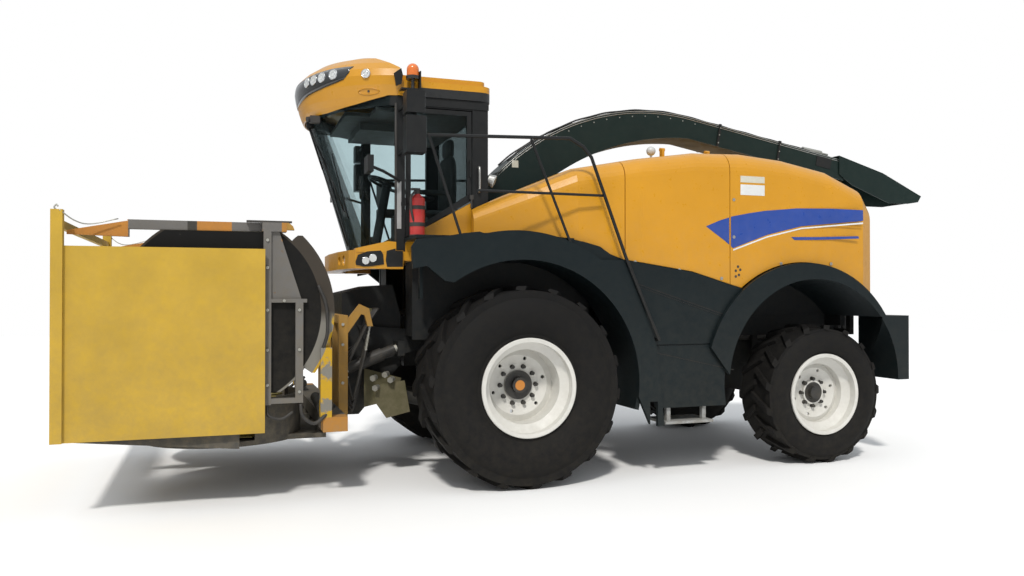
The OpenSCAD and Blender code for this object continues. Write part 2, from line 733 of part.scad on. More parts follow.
module cab_frame() color(black) {
    both_sides() {
        block([pillar_x - pillar_w, cab_y - 60, cab_floor_z], [pillar_x, cab_y, cab_top_z - ring_h]);
        block([cab_rear_x, cab_y - 60, cab_floor_z], [cab_rear_x + rear_pillar_w, cab_y, cab_top_z - ring_h]);
    }
    // Ring under the roof, and the cross bars of the rear wall
    translate([0, 0, cab_top_z - ring_h]) linear_extrude(ring_h) difference() {
        cab_plan(screen_reach[1] - 60, cab_y);
        cab_plan(screen_reach[1] - 130, cab_y - 60);
        translate([cab_rear_x - 1, -cab_y + 60]) square([61, 2 * cab_y - 120]);
    }
    block([cab_rear_x, -cab_y + 60, cab_top_z - ring_h], [cab_rear_x + 60, cab_y - 60, cab_top_z]);
    block([cab_rear_x, -cab_y + 60, cab_floor_z], [cab_rear_x + 60, cab_y - 60, cab_floor_z + 480]);
    for (z = DOOR_HINGES) {
        translate([hinge_axis[0], hinge_axis[1], z]) cylinder(r = hinge_r, h = hinge_h);
        block([hinge_axis[0], cab_y - 1, z], [hinge_axis[0] + 40, cab_y + 8, z + hinge_h]);
    }
}

module cab_glass() color("#26383c") {
    difference() {
        screen_form(0, pillar_x + 2, 0);
        screen_form(glass_t, pillar_x - 20, 3);
        translate([0, 0, cab_top_z - ring_h - seat]) linear_extrude(200) cab_plan(screen_reach[1] - 60 + seat, cab_y + 5);
    }
    // Right side window and rear window
    mirror([0, 1, 0]) slab(cab_y - 34, cab_y - 34 + glass_t) window_outline(seat);
    block([cab_rear_x + 20, -cab_y + 60 + seat, cab_floor_z + 480 + seat],
        [cab_rear_x + 20 + glass_t, cab_y - 60 - seat, cab_top_z - ring_h - seat]);
}

// Side opening between the pillars above the sill, set in by a margin
module window_outline(inset) polygon([
    [cab_rear_x + rear_pillar_w + inset, sill_z(cab_rear_x + rear_pillar_w) + inset * 1.2],
    [pillar_x - pillar_w - inset, sill_top[0] + inset * 1.2],
    [pillar_x - pillar_w - inset, cab_top_z - ring_h - inset],
    [cab_rear_x + rear_pillar_w + inset, cab_top_z - ring_h - inset]
]);

door_frame_w = 42;
module cab_door() color(black) {
    slab(cab_y - door_t, cab_y) difference() {
        window_outline(door_gap);
        window_outline(door_gap + door_frame_w);
    }
    for (z = DOOR_HINGES) {
        translate([hinge_axis[0], hinge_axis[1], z + hinge_h + seat]) cylinder(r = hinge_r, h = hinge_h);
        block([hinge_axis[0] - 40, cab_y - 1, z + hinge_h + seat],
            [hinge_axis[0], cab_y + 8, z + 2 * hinge_h + seat]);
    }
    // Handle with its two feet
    x = door_x[0] + 20;
    bar([x, cab_y + 35, 2760], [x, cab_y + 35, 2920], 18);
    for (z = [2775, 2905]) bar([x, cab_y, z], [x, cab_y + 35, z], 14);
}
module door_glass() color("#26383c")
    slab(cab_y - door_t / 2 - glass_t / 2, cab_y - door_t / 2 + glass_t / 2) window_outline(door_gap + door_frame_w + seat);

// Lamps in the visor: rows of [angle from straight ahead, height, radius]
VISOR_LAMPS = [[22, 3658, 46], [28.5, 3660, 46], [35, 3666, 46], [43, 3676, 46], [62, 3656, 40]];
visor_r = 1010;
visor_x = 820;
module visor_lamps(grow, depth, out) both_sides() for (lamp = VISOR_LAMPS)
    translate([visor_x, 0, lamp[1]]) rotate([0, 90, lamp[0]])
        translate([0, 0, visor_r - depth]) cylinder(r = lamp[2] + grow, h = depth + out);

// Roof: a thin rear part and the deep round visor, hollowed over the cab
visor_rear = 1000;
VISOR = [
    [0, 3960], [420, 3945], [650, 3905], [820, 3845], [925, 3775], [visor_r - 14, 3705], [visor_r, 3640],
    [visor_r - 12, 3560], [visor_r - 38, 3460], [visor_r - 58, 3400], [visor_r - 78, 3355], [0, 3355]
];
roof_top_z = 3665;
roof_y = cab_y + 22;
module roof_plan(inset) union() {
    for (s = [-1, 1]) translate([cab_rear_x + 80, s * (roof_y - 120)]) circle(r = 120 - inset);
    translate([cab_rear_x - 40 + inset, -roof_y + 120]) square([200, 2 * roof_y - 240]);
    translate([cab_rear_x + 80, -roof_y + inset]) square([visor_rear + 20 - cab_rear_x - 80, 2 * roof_y - 2 * inset]);
}
module cab_roof() color(yellow) difference() {
    union() {
        intersection() {
            translate([visor_x, 0, 0]) rotate_extrude($fn = 96) polygon(VISOR);
            slab(-1100, 1100) polygon([
                [visor_rear, cab_top_z], [visor_rear, 3720], [1350, 3965], [2100, 3965], [2100, 3225]
            ]);
        }
        translate([0, 0, cab_top_z + seat]) linear_extrude(3610 - cab_top_z - seat) roof_plan(0);
        translate([0, 0, 3600]) linear_extrude(roof_top_z - 3600) roof_plan(50);
    }
    translate([0, 0, 3000]) linear_extrude(cab_top_z + seat - 3000) cab_plan(screen_reach[1] + 8, cab_y + 8);
    visor_lamps(seat, 60, 200);
}

module work_lamps() color(white) {
    visor_lamps(0, 60 - seat, -14);
    headlamps(0, lamp_depth);
    // Lamp on a stalk on the bonnet
    translate([-1720, 600, 3048.2]) cylinder(r = 12, h = 90);
    translate([-1720, 600, 3134 + 45]) sphere(r = 48);
}

module beacon() both_sides() {
    y = cab_y + 88;
    translate([900, y, cab_top_z + 40]) {
        color(black) cylinder(r = 16, h = 90);
        color(black) translate([0, 0, 90]) cylinder(r = 62, h = 30);
        color("#e0662a") translate([0, 0, 120]) {
            cylinder(r = 54, h = 60);
            translate([0, 0, 60]) sphere(r = 54);
        }
    }
    color(black) block([880, cab_y + seat, cab_top_z - 60], [920, y + 16, cab_top_z - 10]);
    color(black) block([880, y - 16, cab_top_z - 60], [920, y + 16, cab_top_z + 41]);
}

module mirrors() color(black) both_sides() {
    y = 1330;
    block([880, y, 2880], [1050, y + 150, 3190]);
    block([890, y, 3215], [1050, y + 150, 3400]);
    tube([[1000, cab_y + seat, 3340], [1000, y + 30, 3340]], 30);
    tube([[1000, cab_y + seat, 2940], [1000, y + 30, 2940]], 30);
    block([950, y + 60, 3190], [980, y + 90, 3215]);
    // Front mirror on its arm
    tube([[1010, cab_y + seat, 2700], [1010, 1000, 2700], [1180, 1120, 2760], [1300, 1180, 2790]], 26);
    block([1290, 1090, 2730], [1340, 1290, 2870]);
}

module driver_seat() color(black) {
    block([380, -200, cab_floor_z], [700, 200, cab_floor_z + 60]);
    block([440, -140, cab_floor_z + 60], [640, 140, cab_floor_z + 360]);
    hull() for (x = [330, 800]) for (s = [-1, 1])
        translate([x, s * 210, cab_floor_z + 360]) cylinder(r = 50, h = 110, $fn = 24);
    hull() {
        for (s = [-1, 1]) translate([310, s * 190, cab_floor_z + 470]) cylinder(r = 60, h = 20, $fn = 24);
        for (s = [-1, 1]) translate([240 + 70, s * 150, cab_floor_z + 1000]) cylinder(r = 50, h = 20, $fn = 24);
    }
    hull() for (s = [-1, 1]) translate([300, s * 90, cab_floor_z + 1020]) cylinder(r = 45, h = 180, $fn = 24);
}

module steering_column() color(black) {
    block([1000, -70, cab_floor_z], [1120, 70, cab_floor_z + 50]);
    bar([1060, 0, cab_floor_z + 30], [940, 0, cab_floor_z + 700], 90);
    translate([940, 0, cab_floor_z + 700]) rotate([0, -22, 0]) {
        rotate_extrude() translate([190, 20]) circle(r = 16);
        for (a = [0, 120, 240]) rotate(a) translate([0, -12, 10]) cube([190, 24, 14]);
        cylinder(r = 50, h = 36);
    }
}

// Spout. Side view of the duct: an outer and an inner arc, then a straight run
duct_wall = 8;
duct_foot_z = 2700;
outer_arc = [-1995, 1126, 2573];
inner_arc = [-2363, 677, 2747];
duct_tilt = 10;
duct_depth = 240;
flap_len = 1170;
pin_drop = 53;
duct_run = (spout_reach + outer_arc[0] - flap_len - (outer_arc[2] - pin_drop) * sin(duct_tilt)) / cos(duct_tilt) + 30;
closed_to_x = -1500;
lift_pin = [-78, 2750];

module arc_disc(arc, grow) translate([arc[0], arc[1]]) circle(r = arc[2] + grow, $fn = 128);
module duct_straight(low, high) translate([outer_arc[0], outer_arc[1]]) rotate(duct_tilt)
    translate([-duct_run, outer_arc[2] - high]) square([duct_run, high - low]);
module duct_outline(inset) {
    difference() {
        intersection() {
            arc_disc(outer_arc, -inset);
            translate([-2440, duct_foot_z - 2 * inset]) square([2260 - inset, 1200]);
        }
        arc_disc(inner_arc, inset);
    }
    duct_straight(inset, duct_depth - inset);
    polygon([
        [-95 - inset, duct_foot_z - 2 * inset], [-565 + inset, duct_foot_z - 2 * inset],
        [-565 + inset, 2770 + inset * 1.3], [-700, 2880 + inset], [-300, 3050], [-180, 2925 - inset], [-95 - inset, 2830 - inset]
    ]);
}

module spout_duct() color(dark) {
    half = spout_w / 2;
    difference() {
        slab(-half, half) duct_outline(0);
        slab(-half + duct_wall, half - duct_wall) {
            duct_outline(duct_wall);
            // Past the closed part the channel is open below and at its end
            intersection() {
                union() {
                    arc_disc(outer_arc, -duct_wall);
                    duct_straight(duct_wall, duct_depth + 60);
                }
                translate([-2600, 2600]) square([2600 + closed_to_x, 1200]);
            }
            duct_straight(duct_wall, duct_depth + 60);
            translate([outer_arc[0], outer_arc[1]]) rotate(duct_tilt)
                translate([-duct_run - 50, outer_arc[2] - duct_depth - 60]) square([100, duct_depth + 60 - duct_wall]);
        }
    }
    drum(flap_pin[0], flap_pin[1], 18, -half - 14, half + 14);
    drum(lift_pin[0], lift_pin[1], 24, -half + 10, half - 10);
    drum(lift_pin[0], lift_pin[1], 10 - seat, -half - 30, half + 30);
    block([-96, -half + 10, 2735], [-80, half - 10, 2765]);
}

turret_low = spout_base_z + seat;
module spout_turret() color(dark) {
    difference() {
        union() {
            translate([spout_x, 0, turret_low]) cylinder(r = 245, h = 60);
            block([-570, -spout_w / 2 - 30, turret_low + 50], [-60, spout_w / 2 + 30, duct_foot_z - 6]);
        }
        translate([spout_x, 0, spout_base_z - 10]) cylinder(r = 188, h = 400);
    }
    // Ears and the pin on which the duct lifts
    both_sides() difference() {
        slab(spout_w / 2 + 6, spout_w / 2 + 30) union() {
            translate(lift_pin) circle(r = 45);
            translate([lift_pin[0] - 45, duct_foot_z - 10]) square([90, lift_pin[1] - duct_foot_z + 10]);
        }
        drum(lift_pin[0], lift_pin[1], 10, 0, 400);
    }
    // Lift cylinder, its rod's eye beside the duct's lug
    block([-650, -40, turret_low + 50], [-560, 40, duct_foot_z - 10]);
    bar([-620, 0, 2660], [-760, 0, 2800], 70);
    bar([-760, 0, 2800], [-830, 0, 2868], 34);
}

flap_pin = outer_arc_at(duct_run - 30, pin_drop);
function outer_arc_at(run, drop) = [
    outer_arc[0] - run * cos(duct_tilt) - (outer_arc[2] - drop) * sin(duct_tilt),
    outer_arc[1] - run * sin(duct_tilt) + (outer_arc[2] - drop) * cos(duct_tilt)
];
module flap_outline(drop) translate(flap_pin) polygon([
    [70, 105 - drop], [-580, -75 - drop], [-flap_len, -335 - drop * 1.4], [-flap_len + 50, -410 - drop],
    [-flap_len + 210, -435 - drop * 2], [-660, -435 - drop * 2], [-120, -240 - drop * 2], [70, -120 - drop * 2]
]);
module spout_flap() color(dark) {
    inside = spout_w / 2 + 6;
    difference() {
        slab(-inside - duct_wall, inside + duct_wall) flap_outline(0);
        difference() {
            slab(-inside, inside) flap_outline(12);
            block([-spout_reach - 10, -inside, 2700], [-spout_reach + 50, inside, 3000]);
        }
        drum(flap_pin[0], flap_pin[1], 18 + seat, -400, 400);
    }
}

// Feeder house with its arms around the journals of the crop unit
feeder_front = 1440;
module feeder_house() color(dark) difference() {
    union() {
        slab(-rail_y, rail_y) polygon([
            [885, 1010], [885, 1500], [960, 1780], [1150, 1770], [feeder_front, 1700], [feeder_front, 560], [1280, 560]
        ]);
        both_sides() slab(rail_y + 10, rail_y + 60) union() {
            translate([feeder_x, feeder_z]) circle(r = journal_r + 45);
            polygon([[feeder_x, feeder_z + 100], [feeder_x, feeder_z - 100], [1150, 1050], [1300, 1400]]);
        }
        both_sides() block([900, rail_y - 1, 1180], [1180, rail_y + 12, 1330]);
    }
    both_sides() drum(feeder_x, feeder_z, journal_r + seat, 0, 600);
    slab(-330, 330) polygon([[800, 1110], [800, 1400], [1600, 1360], [1600, 700]]);
}

// Header. Coupling frame that hooks onto the feeder house
frame_front = feeder_front + 80;
module header_coupler() color(yellow) {
    both_sides() {
        block([feeder_front + seat, 760, 490], [frame_front, 830, 1500]);
        block([feeder_front + seat, 345, 640], [frame_front, 415, 1470]);
        // Hooked arm of the coupling
        slab(770, 820) polygon([
            [1445, 1330], [1500, 1390], [1335, 1600], [1250, 1560], [1215, 1400], [1262, 1400], [1290, 1500], [1320, 1510]
        ]);
    }
    block([feeder_front + seat, -760, 1430], [frame_front, 760, 1500]);
    block([feeder_front + seat, -760, 560], [frame_front, 760, 640]);
}

// Beam of the header, the pans of the centre rotors and the dividers
pan_t = 40;
pan_low = centre_rotor_z - 50;
beam = [frame_front + seat, frame_front + 200];
module header_frame() {
    color(grey) {
        block([beam[0], -1400, 560], [beam[1], 1400, 680]);
        both_sides() translate([rotor_x, centre_rotor_y, pan_low]) cylinder(r = rotor_r + 40, h = pan_t, $fn = 96);
        block([beam[1] - 60, -centre_rotor_y - 400, pan_low], [rotor_x, centre_rotor_y + 400, pan_low + pan_t]);
        both_sides() for (y = [200, 900]) block([beam[1] - 60, y, pan_low], [beam[1], y + 80, 570]);
        // Curved walls behind the rotors
        both_sides() difference() {
            translate([rotor_x, centre_rotor_y, centre_rotor_z - 10]) cylinder(r = rotor_r + 40, h = 330, $fn = 96);
            translate([rotor_x, centre_rotor_y, centre_rotor_z - 20]) cylinder(r = rotor_r + 14, h = 400, $fn = 96);
            block([rotor_x - 250, -100, 0], [rotor_x + 900, 1600, 1000]);
            block([0, -800, 0], [3500, 420, 1500]);
        }
    }
    // Dividers between the rotors
    color(yellow) {
        divider([rotor_x - 80, 0, pan_low], [3560, 0, centre_rotor_z + 60], 120);
        both_sides() divider([rotor_x - 130, 1375, pan_low], [3560, 1375, centre_rotor_z + 60], 90);
    }
}

// A divider: a sheet hood that tapers from its root to its tip
module divider(root, tip, w) hull() {
    translate(root - [0, w / 2, 0]) cube([30, w, 370]);
    translate(tip - [0, 15, 0]) cube([20, 30, 40]);
}

// Pans and housings of the folded wing rotors
pan_y = 1340;
wing_pan_t = 20;
band_in = 765;
band_out = 875;
module wing_pans() both_sides() color(dark) {
    slab(pan_y, pan_y + wing_pan_t) intersection() {
        translate([rotor_x, wing_z]) circle(r = band_in + 20, $fn = 96);
        translate([rotor_x - 900, 900]) square([1600, 1285]);
    }
    // Curved housing behind the rotor
    slab(pan_y - 300, pan_y + wing_pan_t) translate([rotor_x, wing_z]) intersection() {
        difference() {
            circle(r = band_out, $fn = 96);
            circle(r = band_in, $fn = 96);
        }
        polygon([[0, 0], [-580, 620], [-1000, 620], [-1000, -500], [-690, -500]]);
    }
    // Hinge of the folded wing on the beam
    block([1650, pan_y - 40, 680 + seat], [1740, pan_y + 60, 1250]);
}

// Plates, posts and the top beam over the wing pans
module wing_frames() both_sides() {
    inner = pan_y + wing_pan_t + seat;
    outer = inner + 44;
    color(grey) {
        block([2010, pan_y - 70, 2190], [3190, pan_y, 2262]);
        block([2010, pan_y - 10, 2190], [2200, outer, 2262]);
        block([2130, inner, 800], [2190, outer, 2200]);
        block([1880, inner, 810], [1940, outer, 1640]);
        block([1850, inner, 1620], [2190, outer, 1650]);
        block([1880, inner, 810], [2190, outer, 850]);
        slab(inner + 10, inner + 18) polygon([[2140, 2200], [2070, 2200], [1890, 1640], [2140, 1640]]);
    }
    color(yellow) hull() {
        block([3180, pan_y - 66, 2130], [3200, pan_y - 4, 2250]);
        block([3600, pan_y - 50, 2140], [3610, pan_y - 20, 2170]);
    }
}

// Road guard: side panels and the front frame with its sheet
sheet_t = 6;
guard_low = 590;
post_w = 80;
guard_rear = 2180;
module road_guard() color(yellow) {
    both_sides() {
        block([guard_rear, guard_y - 30 - sheet_t, guard_low], [header_reach - post_w, guard_y - 30, 2045]);
        block([header_reach - post_w, guard_y - post_w, guard_low], [header_reach, guard_y, 2310]);
        for (z = [guard_low + 40, 1980])
            block([guard_rear, guard_y - 76, z], [header_reach - post_w, guard_y - 36, z + 40]);
        for (x = [guard_rear + 20, 2560])
            block([x, pan_y + wing_pan_t + seat, 1300], [x + 50, guard_y - 36, 1350]);
    }
    for (z = [guard_low, 1480, 2180])
        block([header_reach - 60, -guard_y + post_w, z], [header_reach - 20, guard_y - post_w, z + 60]);
    block([header_reach - 66, -guard_y + post_w - 10, guard_low + 20], [header_reach - 50, guard_y - post_w + 10, 1510]);
}

// Rotor: a drum with its shaft, a knife disc and rows of hooked tines
drum_r = 400;
rotor_h = 300;
TINE_ROWS = [80, 170, 260];
module tine_plate() for (i = [0 : tines - 1]) rotate(i * 360 / tines)
    polygon([[drum_r - 20, -34], [rotor_r * 0.86, -26], [rotor_r, 18], [rotor_r - 6, 44], [rotor_r * 0.8, 22], [drum_r - 20, 40]]);
// Knife disc with slanted teeth round its edge
knife_teeth = 36;
module knife() {
    circle(r = rotor_r - 45, $fn = 96);
    for (i = [0 : knife_teeth - 1]) rotate(i * 360 / knife_teeth)
        polygon([[rotor_r - 60, -40], [rotor_r - 12, 26], [rotor_r - 60, 34]]);
}
module rotor() {
    color(grey) {
        cylinder(r = 50, h = 50);
        translate([0, 0, 14]) linear_extrude(8) knife();
        for (z = TINE_ROWS) translate([0, 0, z]) linear_extrude(12) tine_plate();
    }
    color(yellow) translate([0, 0, 22]) cylinder(r = drum_r, h = rotor_h - 22, $fn = 96);
}
module centre_rotor() translate([rotor_x, centre_rotor_y, centre_rotor_z - 10 + seat]) rotor();
module wing_rotor() translate([rotor_x, pan_y - seat, wing_z]) rotate([90, 0, 0]) rotor();
module centre_rotor_left() centre_rotor();
module centre_rotor_right() mirror([0, 1, 0]) centre_rotor();
module wing_rotor_left() wing_rotor();
module wing_rotor_right() mirror([0, 1, 0]) wing_rotor();

placed() chassis_frame();
placed() body_frame();
placed() front_axle();
placed() rear_axle();
placed() crop_unit();
placed() engine_block();
placed() knuckle_left();
placed() knuckle_right();
placed() front_rim_left();
placed() front_rim_right();
placed() front_tyre_left();
placed() front_tyre_right();
placed() rear_rim_left();
placed() rear_rim_right();
placed() rear_tyre_left();
placed() rear_tyre_right();
placed() bonnet_front();
placed() bonnet_roof();
placed() bonnet_rear();
placed() side_panel_left();
placed() side_panel_right();
placed() rear_grille();
placed() front_fenders();
placed() rear_fenders();
placed() side_skirts();
placed() steps();
placed() handrails();
placed() cab_floor();
placed() cab_frame();
placed() cab_glass();
placed() cab_roof();
placed() cab_door();
placed() door_glass();
placed() driver_seat();
placed() steering_column();
placed() mirrors();
placed() work_lamps();
placed() beacon();
placed() spout_turret();
placed() spout_duct();
placed() spout_flap();
placed() feeder_house();
placed() header_coupler();
placed() header_frame();
placed() wing_pans();
placed() wing_frames();
placed() road_guard();
placed() centre_rotor_left();
placed() centre_rotor_right();
placed() wing_rotor_left();
placed() wing_rotor_right();
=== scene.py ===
"""Looks of the forage harvester: materials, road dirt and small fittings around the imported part."""

import random
from math import asin, copysign, cos, exp, pi, radians, sin

import bmesh
import bpy
from mathutils import Matrix, Vector


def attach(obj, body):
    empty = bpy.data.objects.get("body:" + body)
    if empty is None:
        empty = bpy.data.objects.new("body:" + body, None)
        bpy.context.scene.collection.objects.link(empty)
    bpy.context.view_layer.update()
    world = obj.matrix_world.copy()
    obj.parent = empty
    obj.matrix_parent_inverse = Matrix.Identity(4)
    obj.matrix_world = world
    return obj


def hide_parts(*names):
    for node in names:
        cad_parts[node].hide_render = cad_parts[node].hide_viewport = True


random.seed(7)
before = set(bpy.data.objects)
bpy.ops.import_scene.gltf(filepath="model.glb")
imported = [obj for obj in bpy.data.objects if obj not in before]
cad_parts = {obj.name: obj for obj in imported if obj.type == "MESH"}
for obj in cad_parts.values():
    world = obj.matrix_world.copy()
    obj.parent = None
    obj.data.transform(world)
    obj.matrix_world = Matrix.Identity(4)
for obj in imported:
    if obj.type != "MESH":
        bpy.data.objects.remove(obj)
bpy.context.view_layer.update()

# Middle of the length to the front axle, in metres
AXLE_X = 1.0


# Shader helpers
def new_material(name):
    mat = bpy.data.materials.new(name)
    mat.use_nodes = True
    tree = mat.node_tree
    tree.nodes.clear()
    out = tree.nodes.new("ShaderNodeOutputMaterial")
    bsdf = tree.nodes.new("ShaderNodeBsdfPrincipled")
    tree.links.new(bsdf.outputs["BSDF"], out.inputs["Surface"])
    return mat, tree, bsdf


def set_inputs(node, **values):
    """Sets sockets by name, where _ stands for a blank."""
    for name, value in values.items():
        node.inputs[name.replace("_", " ")].default_value = value


def noise(tree, coord, scale, detail=6.0, roughness=0.6, stretch=None):
    node = tree.nodes.new("ShaderNodeTexNoise")
    set_inputs(node, Scale=scale, Detail=detail, Roughness=roughness)
    if stretch:
        mapping = tree.nodes.new("ShaderNodeMapping")
        mapping.inputs["Scale"].default_value = stretch
        tree.links.new(coord, mapping.inputs["Vector"])
        coord = mapping.outputs["Vector"]
    tree.links.new(coord, node.inputs["Vector"])
    return node.outputs["Fac"]


def remap(tree, value, low, high, to_low=0.0, to_high=1.0):
    node = tree.nodes.new("ShaderNodeMapRange")
    set_inputs(node, From_Min=low, From_Max=high, To_Min=to_low, To_Max=to_high)
    tree.links.new(value, node.inputs["Value"])
    return node.outputs["Result"]


def calc(tree, kind, a, b=0.0):
    node = tree.nodes.new("ShaderNodeMath")
    node.operation = kind
    for socket, value in zip(node.inputs, (a, b)):
        if isinstance(value, (int, float)):
            socket.default_value = value
        else:
            tree.links.new(value, socket)
    return node.outputs["Value"]


def times(tree, a, b):
    return calc(tree, "MULTIPLY", a, b)


def length(tree, a, b):
    """The length of a vector with these two parts."""
    return calc(tree, "SQRT", calc(tree, "ADD", times(tree, a, a), times(tree, b, b)))


def mix_color(tree, factor, a, b):
    node = tree.nodes.new("ShaderNodeMix")
    node.data_type = "RGBA"
    tree.links.new(factor, node.inputs["Factor"])
    for socket, value in ((node.inputs["A"], a), (node.inputs["B"], b)):
        if isinstance(value, tuple):
            socket.default_value = (*value, 1.0)
        else:
            tree.links.new(value, socket)
    return node.outputs["Result"]


def place_coord(tree):
    """Coordinates that stay with the piece as it moves."""
    return tree.nodes.new("ShaderNodeTexCoord").outputs["Object"]


def inside(tree, value, edge, soft=0.002):
    """1 where the value is below the edge, 0 above it."""
    return remap(tree, value, edge - soft, edge + soft, 1.0, 0.0)


def split_coord(tree, coord):
    node = tree.nodes.new("ShaderNodeSeparateXYZ")
    tree.links.new(coord, node.inputs["Vector"])
    return node.outputs["X"], node.outputs["Y"], node.outputs["Z"]


BLACK_PAINT = (0.012, 0.013, 0.014)
HUB_ORANGE = (0.55, 0.2, 0.02)
BEAM_ORANGE = (0.5, 0.2, 0.02)
WORN_ORANGE = (0.42, 0.18, 0.02)
# Sizes that the colours keep to, in metres
NUT_R = 0.021
ROOF_EDGE_Z, ROOF_FRONT_X = 3.552, 1.84
BEACON_STEM_Z = 3.631
HOUSING_X, HOUSING_Z = 3.5, 1.545
HOUSING_RING_R, HOUSING_RIM_R = 0.768, 0.855


def hub_colors(axle_x, axle_z, hub_r, bolt_r, nuts, face_y, cap_r):
    """Colours a rim's hub and lug nuts black and the middle of its hub orange."""
    def recolor(tree, coord, color):
        x, y, z = split_coord(tree, coord)
        dx = calc(tree, "SUBTRACT", x, axle_x)
        dz = calc(tree, "SUBTRACT", z, axle_z)
        radius = length(tree, dx, dz)
        turn = times(tree, calc(tree, "ARCTAN2", dz, dx), nuts / (2 * pi))
        turn = calc(tree, "FRACT", calc(tree, "ADD", turn, 0.5))
        part = calc(tree, "ABSOLUTE", calc(tree, "SUBTRACT", turn, 0.5))
        around = times(tree, part, 2 * pi * bolt_r / nuts)
        nut = length(tree, around, calc(tree, "SUBTRACT", radius, bolt_r))
        dark = calc(tree, "MAXIMUM", inside(tree, radius, hub_r), inside(tree, nut, NUT_R))
        color = mix_color(tree, dark, color, BLACK_PAINT)
        outer = inside(tree, times(tree, calc(tree, "ABSOLUTE", y), -1.0), -face_y)
        middle = times(tree, inside(tree, radius, cap_r), outer)
        return mix_color(tree, middle, color, HUB_ORANGE)
    return recolor


def between(tree, value, low, high, soft=0.002):
    """1 where the value lies between two edges."""
    return times(tree, inside(tree, value, high, soft), remap(tree, value, low - soft, low + soft))


def roof_colors(tree, coord, color):
    """The roof behind the visor is black below its thin yellow top."""
    x, y, z = split_coord(tree, coord)
    part = times(tree, inside(tree, z, ROOF_EDGE_Z, 0.001), inside(tree, x, ROOF_FRONT_X, 0.001))
    return mix_color(tree, part, color, BLACK_PAINT)


def beacon_colors(tree, coord, color):
    """The beacon stands on a black stem."""
    stem = inside(tree, split_coord(tree, coord)[2], BEACON_STEM_Z, 0.001)
    return mix_color(tree, stem, color, BLACK_PAINT)


def beam_colors(tree, coord, color):
    """Orange, dark and orange stretches of the header's top beam, which is worn steel elsewhere."""
    x, y, z = split_coord(tree, coord)
    top = remap(tree, z, 2.11, 2.12)
    for low, high, paint in ((4.185, 4.8, BEAM_ORANGE), (3.43, 3.69, BEAM_ORANGE), (3.69, 3.76, (0.02, 0.02, 0.02)),
                             (2.6, 3.05, WORN_ORANGE)):
        color = mix_color(tree, times(tree, between(tree, x, low, high), top), color, paint)
    # The low beam's ends are orange
    ends = times(tree, inside(tree, z, 0.69), remap(tree, calc(tree, "ABSOLUTE", y), 1.24, 1.25))
    return mix_color(tree, times(tree, ends, between(tree, x, 2.5, 2.75)), color, WORN_ORANGE)


def housing_colors(tree, coord, color):
    """The curved housing: worn grey below, with yellow paint left along its rim."""
    x, y, z = split_coord(tree, coord)
    radius = length(tree, calc(tree, "SUBTRACT", x, HOUSING_X), calc(tree, "SUBTRACT", z, HOUSING_Z))
    low = inside(tree, z, 1.5, 0.05)
    ring = calc(tree, "SUBTRACT", 1.0, inside(tree, radius, HOUSING_RING_R))
    color = mix_color(tree, ring, color, (0.05, 0.042, 0.034))
    color = mix_color(tree, times(tree, low, ring), color, (0.2, 0.19, 0.165))
    rim = calc(tree, "SUBTRACT", 1.0, inside(tree, radius, HOUSING_RIM_R))
    worn = remap(tree, noise(tree, coord, 8.0, detail=10), 0.5, 0.56, 1.0, 0.0)
    return mix_color(tree, times(tree, times(tree, rim, low), worn), color, (0.5, 0.3, 0.02))


def duct_colors(tree, coord, color):
    """The spout's inner walls, worn to light grey metal by the crop."""
    x, y, z = split_coord(tree, coord)
    wall = between(tree, calc(tree, "ABSOLUTE", y), 0.1905, 0.1935, 0.0005)
    worn = remap(tree, noise(tree, coord, 3.0, detail=8.0, stretch=(0.4, 1.0, 2.5)), 0.35, 0.6, 0.55, 1.0)
    reach = times(tree, remap(tree, x, -2.7, -2.5), remap(tree, x, -0.55, -0.45, 1.0, 0.0))
    return mix_color(tree, times(tree, times(tree, wall, worn), reach), color, (0.34, 0.35, 0.34))


DUST = (0.24, 0.205, 0.145)


def coated(name, base, rough=0.55, metallic=0.0, dust_all=0.05, dust_low=0.25, low=0.4, high=2.4,
           blotch=2.2, bump=0.015, grain=90, wear=None, wear_at=0.62, coat=0.0, shade=0.12, recolor=None, shine=0.5):
    """A coated surface with lighter and darker patches, dust that thickens downwards, and optional worn spots."""
    mat, tree, bsdf = new_material(name)
    coord = place_coord(tree)
    broad = noise(tree, coord, blotch)
    fine = noise(tree, coord, 14, detail=10, roughness=0.7)
    tone = remap(tree, broad, 0.3, 0.7)
    darker = tuple(c * (1.0 - shade) for c in base)
    lighter = tuple(min(1.0, c * (1.0 + shade)) for c in base)
    color = mix_color(tree, tone, darker, lighter)
    if wear:
        spots = remap(tree, noise(tree, coord, 9.0, detail=12, roughness=0.75), wear_at, wear_at + 0.04)
        color = mix_color(tree, spots, color, wear)
    if recolor:
        color = recolor(tree, coord, color)
    fall = remap(tree, split_coord(tree, coord)[2], low, high, dust_low, 0.0)
    amount = calc(tree, "ADD", fall, dust_all)
    patch = remap(tree, fine, 0.35, 0.65, 0.25, 1.6)
    veil = calc(tree, "MINIMUM", times(tree, amount, patch), 0.9)
    color = mix_color(tree, veil, color, DUST)
    tree.links.new(color, bsdf.inputs["Base Color"])
    tree.links.new(calc(tree, "ADD", remap(tree, fine, 0.3, 0.7, rough - 0.06, rough + 0.08), veil),
                   bsdf.inputs["Roughness"])
    set_inputs(bsdf, Metallic=metallic, Specular_IOR_Level=shine, Coat_Weight=coat, Coat_Roughness=0.12)
    if bump:
        node = tree.nodes.new("ShaderNodeBump")
        set_inputs(node, Strength=0.25, Distance=bump * 0.1)
        tree.links.new(noise(tree, coord, grain, detail=4.0), node.inputs["Height"])
        tree.links.new(node.outputs["Normal"], bsdf.inputs["Normal"])
    return mat


